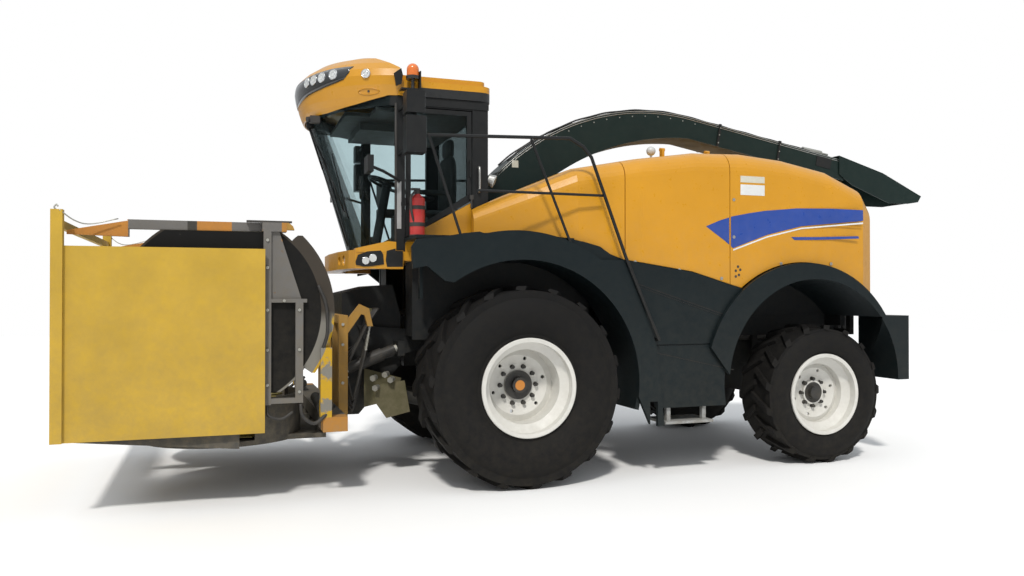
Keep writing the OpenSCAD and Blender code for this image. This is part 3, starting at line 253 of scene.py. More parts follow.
def glass(name, tint, film):
    """Tinted panes: see-through, with a skin that reflects more at a low angle, and faint dust."""
    mat, tree, bsdf = new_material(name)
    coord = place_coord(tree)
    out = next(n for n in tree.nodes if n.type == "OUTPUT_MATERIAL")
    clear = tree.nodes.new("ShaderNodeBsdfTransparent")
    clear.inputs["Color"].default_value = (*tint, 1.0)
    mix = tree.nodes.new("ShaderNodeMixShader")
    set_inputs(bsdf, Base_Color=(0.03, 0.04, 0.04, 1.0), Roughness=0.05)
    skin = tree.nodes.new("ShaderNodeLayerWeight")
    skin.inputs["Blend"].default_value = 0.12
    dusty = remap(tree, noise(tree, coord, 3.0, detail=8.0), 0.3, 0.7, film * 0.5, film * 1.5)
    amount = calc(tree, "MINIMUM", calc(tree, "ADD", dusty, skin.outputs["Fresnel"]), 0.85)
    tree.links.new(amount, mix.inputs["Fac"])
    tree.links.new(clear.outputs["BSDF"], mix.inputs[1])
    tree.links.new(bsdf.outputs["BSDF"], mix.inputs[2])
    tree.links.new(mix.outputs["Shader"], out.inputs["Surface"])
    return mat


PAINT_LOOK = dict(rough=0.3, coat=0.25, dust_all=0.015, dust_low=0.08, low=1.6, high=2.6, shade=0.05)
YELLOW = coated("yellow_paint", (0.6, 0.275, 0.008), **PAINT_LOOK)
ROOF_YELLOW = coated("roof_paint", (0.6, 0.275, 0.008), recolor=roof_colors, **PAINT_LOOK)
RIM_LOOK = dict(rough=0.42, dust_all=0.03, dust_low=0.1, low=0.3, high=1.8, shade=0.05)
RIM_PAINT = (0.66, 0.65, 0.61)
FRONT_RIM = coated("front_rim_paint", RIM_PAINT, recolor=hub_colors(1.0, 0.88, 0.13, 0.168, 10, 1.355, 0.045),
                   **RIM_LOOK)
REAR_RIM = coated("rear_rim_paint", RIM_PAINT, recolor=hub_colors(-2.2, 0.69, 0.105, 0.138, 8, 1.5, 0.03), **RIM_LOOK)
BLACK = coated("black_paint", BLACK_PAINT, rough=0.42, dust_all=0.01, dust_low=0.05, shine=0.25)
FRAME_DARK = coated("frame_paint", (0.012, 0.014, 0.016), dust_all=0.03, dust_low=0.1, low=0.3, high=1.4, shine=0.2)
FENDER = coated("fender_plastic", (0.004, 0.009, 0.011), rough=0.4, dust_all=0.006, dust_low=0.03, low=0.5, high=2.0,
                shine=0.25)
SPOUT = coated("spout_paint", (0.006, 0.017, 0.015), rough=0.36, dust_all=0.01, shine=0.3, dust_low=0.0,
               wear=(0.12, 0.12, 0.11), wear_at=0.72, recolor=duct_colors)
RUBBER = coated("tyre_rubber", (0.007, 0.007, 0.0075), rough=0.75, dust_all=0.01, dust_low=0.03, low=0.0, high=1.8,
                bump=0.03, shine=0.15)
STEEL = coated("worn_steel", (0.135, 0.13, 0.125), metallic=0.2, wear=(0.16, 0.09, 0.05), dust_all=0.1,
               recolor=beam_colors)
LOW_STEEL = coated("low_steel", (0.045, 0.044, 0.042), rough=0.6, wear=(0.12, 0.1, 0.08), recolor=beam_colors, shine=0.3)
COUPLER = coated("coupler_paint", (0.36, 0.185, 0.018), wear=(0.09, 0.07, 0.05))
STEP = coated("step_plate", (0.42, 0.43, 0.43), rough=0.5, metallic=0.6, dust_all=0.1)
ENGINE = coated("engine_grey", (0.12, 0.12, 0.12), rough=0.7, dust_all=0.08)
# The road guard's own olive-yellow paint, made darker in part by painted shade of its side that faces away from the
# light
GUARD_PAINT_AND_SHADE = coated("guard_paint_and_shade", (0.5, 0.31, 0.018), dust_low=0.14, low=0.5, high=2.2, wear=(0.25, 0.12, 0.05), wear_at=0.74)
OLIVE = coated("rotor_paint", (0.36, 0.29, 0.05), dust_all=0.18, wear=(0.22, 0.15, 0.09))
PAN_DARK = coated("pan_paint", (0.008, 0.008, 0.008), rough=0.65, dust_all=0.0, dust_low=0.06, wear=(0.05, 0.045, 0.04),
                  wear_at=0.66, recolor=housing_colors, shine=0.12)
SEAT = coated("seat_fabric", (0.03, 0.034, 0.038), rough=0.9, bump=0.04, grain=420, dust_all=0.08)
LENS = coated("lamp_lens", (0.62, 0.64, 0.64), rough=0.12, coat=0.8)
AMBER = coated("beacon_lens", (0.74, 0.17, 0.02), rough=0.2, coat=0.6, recolor=beacon_colors)
HOSE_BLACK = coated("black_rubber", (0.014, 0.014, 0.015), rough=0.6, dust_all=0.04, grain=160)
AMBER_LENS = coated("amber_lens", (0.74, 0.24, 0.02), rough=0.2, coat=0.6)
PANE = glass("tinted_glass", (0.84, 0.9, 0.91), 0.035)

NODE_LOOKS = {
    FRAME_DARK: ["chassis_frame", "body_frame", "front_axle", "rear_axle", "knuckle_left", "knuckle_right", "crop_unit",
                 "feeder_house"],
    ENGINE: ["engine_block"],
    FRONT_RIM: ["front_rim_left", "front_rim_right"],
    REAR_RIM: ["rear_rim_left", "rear_rim_right"],
    RUBBER: ["front_tyre_left", "front_tyre_right", "rear_tyre_left", "rear_tyre_right"],
    YELLOW: ["bonnet_front", "bonnet_roof", "bonnet_rear", "side_panel_left", "side_panel_right", "cab_floor"],
    ROOF_YELLOW: ["cab_roof"],
    FENDER: ["front_fenders", "rear_fenders", "side_skirts"],
    BLACK: ["rear_grille", "handrails", "cab_frame", "cab_door", "mirrors", "steering_column"],
    STEP: ["steps"],
    PANE: ["cab_glass", "door_glass"],
    SEAT: ["driver_seat"],
    LENS: ["work_lamps"],
    AMBER: ["beacon"],
    SPOUT: ["spout_turret", "spout_duct", "spout_flap"],
    STEEL: ["wing_frames"],
    LOW_STEEL: ["header_frame"],
    COUPLER: ["header_coupler"],
    PAN_DARK: ["wing_pans"],
    GUARD_PAINT_AND_SHADE: ["road_guard"],
    OLIVE: ["centre_rotor_left", "centre_rotor_right", "wing_rotor_left", "wing_rotor_right"],
}
for look, names in NODE_LOOKS.items():
    for name in names:
        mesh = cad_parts[name].data
        mesh.materials.clear()
        mesh.materials.append(look)


# Mesh helpers. A place is a Vector in metres, or three numbers in millimetres with X from the front axle
BOTH = 0
SIDES = ((1, "left"), (-1, "right"))
OUTWARD = (0, 1, 0)


def at(x, y, z):
    """A place with X measured from the front axle, in millimetres."""
    return Vector((x / 1000 + AXLE_X, y / 1000, z / 1000))


def place(p):
    return p if isinstance(p, Vector) else at(*p)


def piece(name, bm, look, body="machine", smooth=False, side=1):
    """An object that rides a body. Meshes are built on the left; side -1 mirrors one and BOTH adds its mirror image."""
    mirrored = bm.verts if side < 0 else []
    if side == BOTH:
        copy = bmesh.ops.duplicate(bm, geom=bm.verts[:] + bm.edges[:] + bm.faces[:])["geom"]
        mirrored = [part for part in copy if isinstance(part, bmesh.types.BMVert)]
    for vert in mirrored:
        vert.co.y = -vert.co.y
    mesh = bpy.data.meshes.new(name)
    bmesh.ops.recalc_face_normals(bm, faces=bm.faces)
    bm.to_mesh(mesh)
    bm.free()
    for face in mesh.polygons:
        face.use_smooth = smooth
    mesh.materials.append(look)
    obj = bpy.data.objects.new(name, mesh)
    bpy.context.scene.collection.objects.link(obj)
    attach(obj, body)
    return obj


def add_box(bm, low, high):
    low, high = place(low), place(high)
    size = high - low
    for v in bmesh.ops.create_cube(bm, size=1.0)["verts"]:
        v.co = low + Vector(((v.co.x + 0.5) * size.x, (v.co.y + 0.5) * size.y, (v.co.z + 0.5) * size.z))


def add_rod(bm, start, end, radius, sides=12, end_radius=None):
    start, end = place(start), place(end)
    run = end - start
    made = bmesh.ops.create_cone(bm, cap_ends=True, segments=sides, radius1=radius,
                                 radius2=radius if end_radius is None else end_radius, depth=run.length)["verts"]
    turn = run.to_track_quat("Z", "Y").to_matrix().to_4x4()
    bmesh.ops.transform(bm, matrix=Matrix.Translation((start + end) / 2) @ turn, verts=made)


def smooth_path(points, steps=6):
    """A curve through all the points."""
    pts = [place(p) for p in points]
    pts = [pts[0] * 2 - pts[1]] + pts + [pts[-1] * 2 - pts[-2]]
    path = []
    for a, b, c, d in zip(pts, pts[1:], pts[2:], pts[3:]):
        for i in range(steps):
            t = i / steps
            bend = (2 * a - 5 * b + 4 * c - d) * t * t + (3 * b - a - 3 * c + d) * t ** 3
            path.append(0.5 * (2 * b + (c - a) * t + bend))
    path.append(pts[-2])
    return path


def add_hose(bm, points, radius, sides=8, steps=6):
    path = smooth_path(points, steps)
    rings = []
    for i, p in enumerate(path):
        along = (path[min(i + 1, len(path) - 1)] - path[max(i - 1, 0)]).normalized()
        side = along.cross(Vector((0.31, 0.17, 0.93))).normalized()
        up = side.cross(along)
        turns = [2 * pi * k / sides for k in range(sides)]
        rings.append([bm.verts.new(p + radius * (cos(turn) * side + sin(turn) * up)) for turn in turns])
    for r0, r1 in zip(rings, rings[1:]):
        for k in range(sides):
            bm.faces.new((r0[k], r0[(k + 1) % sides], r1[(k + 1) % sides], r1[k]))
    bm.faces.new(rings[0])
    bm.faces.new(rings[-1])


def add_hoses(bm, points, radius, sides=8, steps=6):
    """The same hose on both sides of the machine."""
    for side in (1, -1):
        add_hose(bm, [(x, side * y, z) for x, y, z in points], radius, sides, steps)


def add_prism(bm, outline, depth):
    """A flat outline, thickened by the vector depth in metres."""
    low = [bm.verts.new(place(p)) for p in outline]
    high = [bm.verts.new(place(p) + Vector(depth)) for p in outline]
    bm.faces.new(low)
    bm.faces.new(high)
    n = len(low)
    for i in range(n):
        bm.faces.new((low[i], low[(i + 1) % n], high[(i + 1) % n], high[i]))


def add_ring(bm, center, axis, radius, thick, sides=32, tube=8):
    center, axis = place(center), Vector(axis).normalized()
    side = axis.orthogonal().normalized()
    up = axis.cross(side)
    rings = []
    for i in range(sides):
        a = 2 * pi * i / sides
        out = cos(a) * side + sin(a) * up
        turns = [2 * pi * k / tube for k in range(tube)]
        rings.append([bm.verts.new(center + out * (radius + thick * cos(turn)) + axis * thick * sin(turn))
                      for turn in turns])
    for i in range(sides):
        r0, r1 = rings[i], rings[(i + 1) % sides]
        for k in range(tube):
            bm.faces.new((r0[k], r0[(k + 1) % tube], r1[(k + 1) % tube], r1[k]))


def add_disc(bm, center, axis, radius, thick, sides=24):
    center, axis = place(center), Vector(axis).normalized()
    add_rod(bm, center, center + axis * thick, radius, sides)


def mesh_of(add, *args):
    """A mesh with one shape in it."""
    bm = bmesh.new()
    add(bm, *args)
    return bm


def side_plate(bm, outline, y0, y1):
    """An upright plate between two distances from the machine's middle."""
    add_prism(bm, [(x, y0, z) for x, z in outline], (0, (y1 - y0) / 1000, 0))


# Stripe, labels, vents and fasteners on the bodywork
BLUE = coated("stripe_blue", (0.012, 0.055, 0.3), rough=0.3, coat=0.4, dust_all=0.03)
PALE = coated("line_white", (0.72, 0.73, 0.72), rough=0.4, dust_all=0.04)
LABEL = coated("blank_label", (0.62, 0.6, 0.5), rough=0.5, dust_all=0.08)
BRIGHT = coated("bright_steel", (0.5, 0.5, 0.48), rough=0.32, metallic=0.9)
RED = coated("bottle_red", (0.52, 0.02, 0.02), rough=0.3, coat=0.5, dust_all=0.08)
PLASTIC = coated("black_plastic", (0.02, 0.02, 0.022), dust_all=0.08)

SIDE_Y = 1440
SEAM_X = -2120
FILM = 1.5


def side_film(name, outline, look, side, lift=FILM, body="machine"):
    """A thin flat film on the upright side of the bodywork, outline in X and Z millimetres."""
    bm = bmesh.new()
    side_plate(bm, outline, SIDE_Y + 0.3, SIDE_Y + 0.3 + lift)
    piece(name, bm, look, body, side=side)


def clip_at(outline, limit, keep_front):
    """The part of an outline on one side of a limit along X."""
    out = []
    for a, b in zip(outline, outline[1:] + outline[:1]):
        a_in = (a[0] > limit) == keep_front
        b_in = (b[0] > limit) == keep_front
        if a_in:
            out.append(a)
        if a_in != b_in:
            t = (limit - a[0]) / (b[0] - a[0])
            out.append((limit, a[1] + t * (b[1] - a[1])))
    return out


STRIPE = [(-1850, 2335), (-2000, 2395), (-2150, 2440), (-2330, 2475), (-2520, 2505), (-2880, 2540), (-3290, 2552),
          (-3700, 2550), (-3700, 2440), (-3410, 2412), (-2940, 2365), (-2540, 2270), (-2340, 2200), (-2150, 2132),
          (-2060, 2200)]
WHITE_LINE = [(-2150, 2122), (-2340, 2188), (-2540, 2257), (-2940, 2350), (-3410, 2397), (-3700, 2425),
              (-3700, 2408), (-3410, 2382), (-2940, 2336), (-2540, 2243), (-2340, 2174), (-2152, 2108)]
STREAK = [(-2820, 2255), (-3160, 2262), (-3640, 2282), (-3650, 2258), (-3180, 2236), (-2860, 2226)]


def stripes():
    for side, word in SIDES:
        side_film("stripe_front_" + word, clip_at(STRIPE, SEAM_X + 14, True), BLUE, side, body="lid_" + word)
        side_film("stripe_rear_" + word, clip_at(STRIPE, SEAM_X - 6, False), BLUE, side)
        side_film("line_rear_" + word, clip_at(WHITE_LINE, SEAM_X - 6, False), PALE, side, 1.0)
        side_film("streak_" + word, STREAK, BLUE, side)
        side_film("label_upper_" + word, [(-2235, 2835), (-2510, 2835), (-2510, 2772), (-2235, 2772)], LABEL, side)
        side_film("label_lower_" + word, [(-2235, 2752), (-2510, 2752), (-2510, 2650), (-2235, 2650)], PALE, side)


def vents():
    """Five round vents near the lower edge of the rear panel, and the panels' quarter-turn fasteners."""
    for side, word in SIDES:
        bm = bmesh.new()
        for x, z in ((-2180, 1915), (-2215, 1875), (-2180, 1860), (-2230, 1925), (-2205, 1955)):
            add_disc(bm, (x, SIDE_Y - 1, z), OUTWARD, 0.013, 0.003, 16)
        piece("vents_" + word, bm, PLASTIC, side=side)
        bm = bmesh.new()
        for x, z in ((-2160, 2600), (-2160, 2240), (-2700, 1990), (-3300, 1995)):
            add_disc(bm, (x, SIDE_Y - 1, z), OUTWARD, 0.016, 0.004, 16)
            add_box(bm, (x - 10, SIDE_Y + 3, z - 2), (x + 10, SIDE_Y + 4.5, z + 2))
        piece("fasteners_rear_" + word, bm, BRIGHT, side=side)
        bm = bmesh.new()
        for x, z, inset in ((-1100, 1985, 6), (-1560, 1915, 1), (-2020, 1840, 1)):
            add_disc(bm, (x, SIDE_Y - inset, z), OUTWARD, 0.016, 0.006, 16)
        piece("fasteners_lid_" + word, bm, BRIGHT, "lid_" + word, side=side)


stripes()
vents()

# Cab: visor band, lamps' rims, wipers, bottle, handles, trims and what stands inside
VISOR_X = 820
VISOR_RADII = ((3355, 932), (3400, 952), (3460, 972), (3560, 998), (3640, 1010), (3705, 996), (3775, 925), (3845, 820))
SMOKE = coated("smoked_band", (0.008, 0.01, 0.012), rough=0.12, coat=0.9, dust_all=0.02, dust_low=0.0, bump=0)
CHROME = coated("chrome_rim", (0.75, 0.76, 0.77), rough=0.12, metallic=1.0, dust_all=0.03, bump=0)
SCREEN = coated("dark_screen", (0.01, 0.012, 0.015), rough=0.1, coat=0.8, dust_all=0.02, bump=0)
LAMPS_IN_BAND = ((22, 3658), (28.5, 3660), (35, 3666), (43, 3676))
SIDE_LAMP = (62, 3656)
RECESS = (63, 3503)
BAND_REACH = 54
# Edges of the smoked band: (angle from the front, height)
BAND_HIGH = ((0, 3690), (18, 3702), (29, 3729), (40, 3745), (54, 3742))
BAND_LOW = ((0, 3500), (8, 3506), (18, 3530), (33, 3560), (44, 3592), (50, 3618), (53, 3683), (54, 3741))


def along(table, value):
    """The value between a table's rows."""
    for (a0, b0), (a1, b1) in zip(table, table[1:]):
        if a0 <= value <= a1:
            return b0 + (b1 - b0) * (value - a0) / (a1 - a0)
    return table[-1][1] if value > table[-1][0] else table[0][1]


def on_visor(angle, z, lift=4.0):
    r = along(VISOR_RADII, z) + lift
    a = radians(angle)
    return at(VISOR_X + r * cos(a), r * sin(a), z)


def visor_band():
    """Smoked band round the front of the visor, with pointed ends."""
    bm = bmesh.new()
    columns = []
    steps = 72
    for i in range(steps + 1):
        a = BAND_REACH * (2 * i / steps - 1)
        low, high = along(BAND_LOW, abs(a)), along(BAND_HIGH, abs(a))
        columns.append([bm.verts.new(on_visor(a, low + (high - low) * k / 6)) for k in range(7)])
    for c0, c1 in zip(columns, columns[1:]):
        for k in range(6):
            bm.faces.new((c0[k], c1[k], c1[k + 1], c0[k + 1]))
    obj = piece("visor_band", bm, SMOKE, smooth=True)
    solid = obj.modifiers.new("skin", "SOLIDIFY")
    solid.thickness = 0.003
    solid.offset = 0.0


def visor_lamp(bm_rim, bm_lens, angle, z, radius):
    a = radians(angle)
    out = Vector((cos(a), sin(a), 0.12))
    center = on_visor(angle, z, 3.0)
    add_ring(bm_rim, center + out * 0.004, out, radius, 0.006, 28, 6)
    add_disc(bm_lens, center - out * 0.004, out, radius * 0.97, 0.01, 28)
    add_ring(bm_rim, center + out * 0.007, out, radius * 0.5, 0.003, 20, 5)


def visor_lamps():
    rims, lenses = bmesh.new(), bmesh.new()
    for sign in (1, -1):
        for angle, z in LAMPS_IN_BAND:
            visor_lamp(rims, lenses, sign * angle, z, 0.043)
        visor_lamp(rims, lenses, sign * SIDE_LAMP[0], SIDE_LAMP[1], 0.038)
    piece("visor_lamp_rims", rims, CHROME, smooth=True)
    piece("visor_lamp_lenses", lenses, LENS)
    # Oval recesses under the side lamps, and the camera under the nose
    bm = bmesh.new()
    for sign in (1, -1):
        ring = []
        for k in range(28):
            t = 2 * pi * k / 28
            ring.append(on_visor(sign * (RECESS[0] + 5.5 * cos(t)), RECESS[1] + 27 * sin(t), 2.0))
        add_hose(bm, ring + ring[:2], 0.006, 6, 1)
    piece("visor_recess_rings", bm, YELLOW, smooth=True)
    bm = bmesh.new()
    for sign in (1, -1):
        a = radians(RECESS[0])
        add_disc(bm, on_visor(sign * RECESS[0], RECESS[1], 1.0), (cos(a), sign * sin(a), 0), 0.01, 0.006, 16)
    add_box(bm, (1640, 330, 3290), (1730, 410, 3352))
    add_rod(bm, (1728, 370, 3322), (1756, 382, 3316), 0.026, 20)
    piece("nose_camera", bm, PLASTIC)


PILLAR_X = 1030
GLASS_LOW, GLASS_HIGH = 2075, 3470
GLASS_REACH = (270, 700)


def glass_point(angle_share, z, lift=6.0):
    """A place on the windscreen: angle_share from -1 at the right pillar to 1 at the left one."""
    t = (z - GLASS_LOW) / (GLASS_HIGH - GLASS_LOW)
    reach = GLASS_REACH[0] + (GLASS_REACH[1] - GLASS_REACH[0]) * t
    half = 950
    radius = (reach * reach + half * half) / (2 * reach)
    full = asin(min(1.0, half / radius))
    if reach > half:
        full = pi - full
    a = full * angle_share
    return at(PILLAR_X + reach - radius + (radius + lift) * cos(a), (radius + lift) * sin(a), z)


def wipers():
    bm = bmesh.new()
    top = glass_point(0.06, 3310, 34)
    for share, low in ((0.3, 2470), (0.1, 2160)):
        knee = glass_point(share * 0.6 + 0.02, 2900, 30)
        tip = glass_point(share, low, 16)
        add_rod(bm, top, knee, 0.009, 8)
        add_rod(bm, knee, tip, 0.007, 8)
        blade = [glass_point(share + 0.03, z, 7) for z in range(low - 60, 3060, 100)]
        add_hose(bm, blade, 0.006, 6, 2)
    add_rod(bm, glass_point(0.06, 3315, 6), glass_point(0.06, 3315, 50), 0.03, 16)
    add_box(bm, glass_point(0.06, 3290, 10) - Vector((0.02, 0.03, 0)),
            glass_point(0.06, 3350, 10) + Vector((0.03, 0.03, 0)))
    piece("wipers", bm, BLACK, smooth=True)


def cab_outside():
    # Edge seals of the windscreen and the worn strip on the left front pillar
    bm = bmesh.new()
    add_hoses(bm, [(1034, 948, z) for z in (2080, 2760, 3400)], 0.012, 6, 2)
    add_hose(bm, [glass_point(-1 + 2 * i / 24, 2092, 10) for i in range(25)], 0.013, 6, 1)
    piece("screen_seals", bm, PLASTIC, smooth=True)
    piece("pillar_strip", mesh_of(add_box, (985, 950.5, 2275), (1029, 953, 2700)), STEP)
    # Fire bottle with its straps, brackets and hose
    bx, by = 860, 1045
    bm = bmesh.new()
    add_rod(bm, (bx, by, 2215), (bx, by, 2540), 0.068, 28)
    add_rod(bm, (bx, by, 2540), (bx, by, 2580), 0.066, 28, 0.022)
    piece("fire_bottle", bm, RED, "door")
    bm = bmesh.new()
    add_rod(bm, (bx, by, 2579), (bx, by, 2615), 0.024, 16)
    add_box(bm, (835, 1030, 2612), (915, 1060, 2632))
    add_rod(bm, (bx, by, 2190), (bx, by, 2216), 0.071, 28)
    for z in (2290, 2440):
        add_rod(bm, (bx, by, z), (bx, by, z + 34), 0.071, 28)
        add_box(bm, (840, 951, z + 6), (880, 985, z + 28))
    add_hose(bm, [(885, 1060, 2600), (930, 1100, 2540), (925, 1105, 2420), (900, 1090, 2330)], 0.011, 8)
    piece("bottle_fittings", bm, PLASTIC, "door")
    # Grab handles on the rear pillars, and the lamp behind the cab
    bm = bmesh.new()
    add_hoses(bm, [(262, 951, 2860), (262, 985, 2840), (262, 985, 2650), (262, 951, 2630)], 0.011, 8, 4)
    piece("grab_handles", bm, BRIGHT, smooth=True)
    piece("platform_lamp", mesh_of(add_rod, (150, 905, 2760), (105, 925, 2740), 0.05, 20, 0.062), BRIGHT)
    piece("platform_lamp_lens", mesh_of(add_disc, (105, 925, 2740), (-45, 20, -20), 0.056, 0.008, 20), LENS)
    # Black band under the thin rear roof
    bm = bmesh.new()
    for y in (951, -959):
        add_box(bm, (165, y, 3392), (860, y + 8, 3468))
    add_box(bm, (150, -880, 3392), (168, 880, 3468))
    piece("roof_band", bm, BLACK)
    bm = bmesh.new()
    add_box(bm, (876, 1345, 2895), (879.5, 1465, 3175))
    add_box(bm, (886, 1345, 3228), (889.5, 1465, 3388))
    piece("mirror_faces", bm, CHROME, side=BOTH)


def cab_inside():
    floor = 2078
    bm = bmesh.new()
    # Arm console to the right of the seat, with its lever and monitor
    add_box(bm, (420, -480, floor), (800, -300, floor + 420))
    add_box(bm, (420, -470, floor + 420), (960, -310, floor + 500))
    add_rod(bm, (880, -390, floor + 500), (905, -390, floor + 640), 0.02, 12, 0.034)
    add_box(bm, (915, -520, floor + 560), (950, -250, floor + 780))
    # Steering column's cowl and the pedals
    add_box(bm, (985, -70, floor), (1110, 70, floor + 60))
    for y in (-190, 130):
        add_box(bm, (1110, y, floor + 40), (1135, y + 80, floor + 170))
    # Roof lining, radio housing and a small monitor on its arm
    add_box(bm, (240, -860, 3340), (1200, 860, 3378))
    add_box(bm, (1200, -560, 3340), (1430, 560, 3378))
    add_box(bm, (900, -300, 3270), (1250, 300, 3342))
    add_box(bm, (860, 520, 3000), (900, 700, 3160))
    add_rod(bm, (900, 610, 3080), (985, 640, 3080), 0.014, 10)
    # Cabinet under the passenger seat
    add_box(bm, (330, 420, floor), (700, 760, floor + 330))
    piece("cab_fittings", bm, PLASTIC)
    bm = bmesh.new()
    add_box(bm, (912.5, -510, floor + 570), (914.8, -260, floor + 770))
    add_box(bm, (905, -240, 3285), (898.5, 240, 3325))
    piece("cab_screens", bm, SCREEN)
    bm = bmesh.new()
    add_hose(bm, [(1180, 330, 2600), (1220, 420, 2640), (1280, 470, 2680)], 0.009, 8)
    add_rod(bm, (1280, 470, 2690), (1262, 474, 2690), 0.11, 24)
    piece("inner_mirror", bm, PLASTIC)


visor_band()
visor_lamps()
wipers()
cab_outside()
cab_inside()

# Seats: crowned cushions on a base with rubber bellows
FLOOR_Z = 2070
SEAT_CUTS = 21
CHANNEL_WIDE = 16


def pad_frame(low, high, face):
    """A pad's two axes across its face, its middle and its half size."""
    flat = [axis for axis in range(3) if axis != face]
    return flat, [(a + b) / 2 for a, b in zip(low, high)], [(b - a) / 2 for a, b in zip(low, high)]


def cushion(name, low, high, face, channels=(), plan=5.0, crown=2.8, depth=9.0):
    """A closed pad between two corners in millimetres. It is crowned along the axis face and crossed by channels."""
    flat, middle, half = pad_frame(low, high, face)
    bm = bmesh.new()
    bmesh.ops.create_cube(bm, size=2.0)
    bmesh.ops.subdivide_edges(bm, edges=bm.edges[:], cuts=SEAT_CUTS, use_grid_fill=True)
    for vert in bm.verts:
        p = list(vert.co)
        around = (abs(p[flat[0]]) ** plan + abs(p[flat[1]]) ** plan) ** (1 / plan)
        size = (around ** crown + abs(p[face]) ** crown) ** (1 / crown)
        q = [c / size * h for c, h in zip(p, half)]
        for channel in channels:
            press = exp(-((q[1] - channel) / CHANNEL_WIDE) ** 2) * abs(q[face]) / half[face]
            q[face] -= copysign(depth * press, q[face])
        vert.co = at(*[c + m for c, m in zip(q, middle)])
    pad = piece(name, bm, SEAT, smooth=True)
    return pad


def piping(bm, low, high, face, plan=5.0, radius=0.005):
    """The welt that runs round a pad where its two covers meet."""
    flat, middle, half = pad_frame(low, high, face)
    points = []
    for k in range(41):
        turn = 2 * pi * k / 40
        p = [0.0, 0.0, 0.0]
        p[flat[0]], p[flat[1]] = cos(turn), sin(turn)
        size = (abs(p[flat[0]]) ** plan + abs(p[flat[1]]) ** plan) ** (1 / plan)
        points.append(at(*[c / size * h + m for c, h, m in zip(p, half, middle)]))
    add_hose(bm, points, radius, 6, 2)


def bellows(bm, low, high, folds=7, inset=18, corner=38):
    """A rubber sleeve with folds, between two corners in millimetres."""
    loops = []
    steps = 2 * folds
    for k in range(steps + 1):
        pull = inset if k % 2 == 0 else 0.0
        z = low[2] + (high[2] - low[2]) * k / steps
        loop = []
        for cx, cy, start in ((1, 1, 0), (-1, 1, 90), (-1, -1, 180), (1, -1, 270)):
            bx = (high[0] if cx > 0 else low[0]) - cx * (pull + corner)
            by = (high[1] if cy > 0 else low[1]) - cy * (pull + corner)
            for a in (0, 30, 60, 90):
                turn = radians(start + a)
                loop.append(bm.verts.new(at(bx + corner * cos(turn), by + corner * sin(turn), z)))
        loops.append(loop)
    count = len(loops[0])
    for lower, upper in zip(loops, loops[1:]):
        for i in range(count):
            j = (i + 1) % count
            bm.faces.new((lower[i], lower[j], upper[j], upper[i]))
    bm.faces.new(loops[0][::-1])
    bm.faces.new(loops[-1])


def seats():
    z = FLOOR_Z
    pads = {
        "seat_cushion": ((281, -258, z + 362), (848, 258, z + 470), 2, (-92, 92)),
        "seat_back": ((252, -246, z + 452), (372, 246, z + 1022), 0, (-88, 88)),
        "seat_headrest": ((256, -134, z + 1012), (345, 134, z + 1198), 0, ()),
        "armrest_left": ((380, 242, z + 600), (690, 300, z + 652), 2, ()),
        "armrest_right": ((380, -300, z + 600), (690, -242, z + 652), 2, ()),
        "passenger_cushion": ((335, 425, z + 336), (705, 755, z + 408), 2, ()),
    }
    welts = bmesh.new()
    for name, (low, high, face, channels) in pads.items():
        pad = cushion(name, low, high, face, channels)
        if name.startswith("seat"):
            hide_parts("driver_seat")
            piping(welts, low, high, face)
    piece("seat_piping", welts, HOSE_BLACK, smooth=True)
    bm = bmesh.new()
    add_box(bm, (380, -200, z), (700, 200, z + 34))
    for y in (-150, 110):
        add_box(bm, (360, y, z + 346), (760, y + 40, z + 368))
    for y in (-262, 228):
        add_box(bm, (300, y, z + 470), (345, y + 34, z + 620))
    add_rod(bm, (700, -215, z + 352), (790, -225, z + 340), 0.012, 10)
    base = piece("seat_base", bm, PLASTIC)
    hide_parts("driver_seat")
    bm = bmesh.new()
    bellows(bm, (425, -150, z + 34), (655, 150, z + 348))
    sleeve = piece("seat_bellows", bm, HOSE_BLACK)
    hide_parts("driver_seat")


seats()

# Header and feeder: hoses, couplings, shields, wires, cylinders and drive shaft
FEEDER_SIDE = 480.5
CYLINDER_Y = 560
SHAFT_Y = 640
BEAM_IN, BEAM_OUT = 1345, 1404
HOSE = coated("hose_rubber", (0.012, 0.012, 0.013), rough=0.5, dust_low=0.05)
ZINC = coated("zinc_fittings", (0.46, 0.46, 0.42), rough=0.35, metallic=0.85, dust_all=0.1)
SHIELD = coated("olive_shield", (0.075, 0.068, 0.022), rough=0.6, wear=(0.2, 0.15, 0.08))


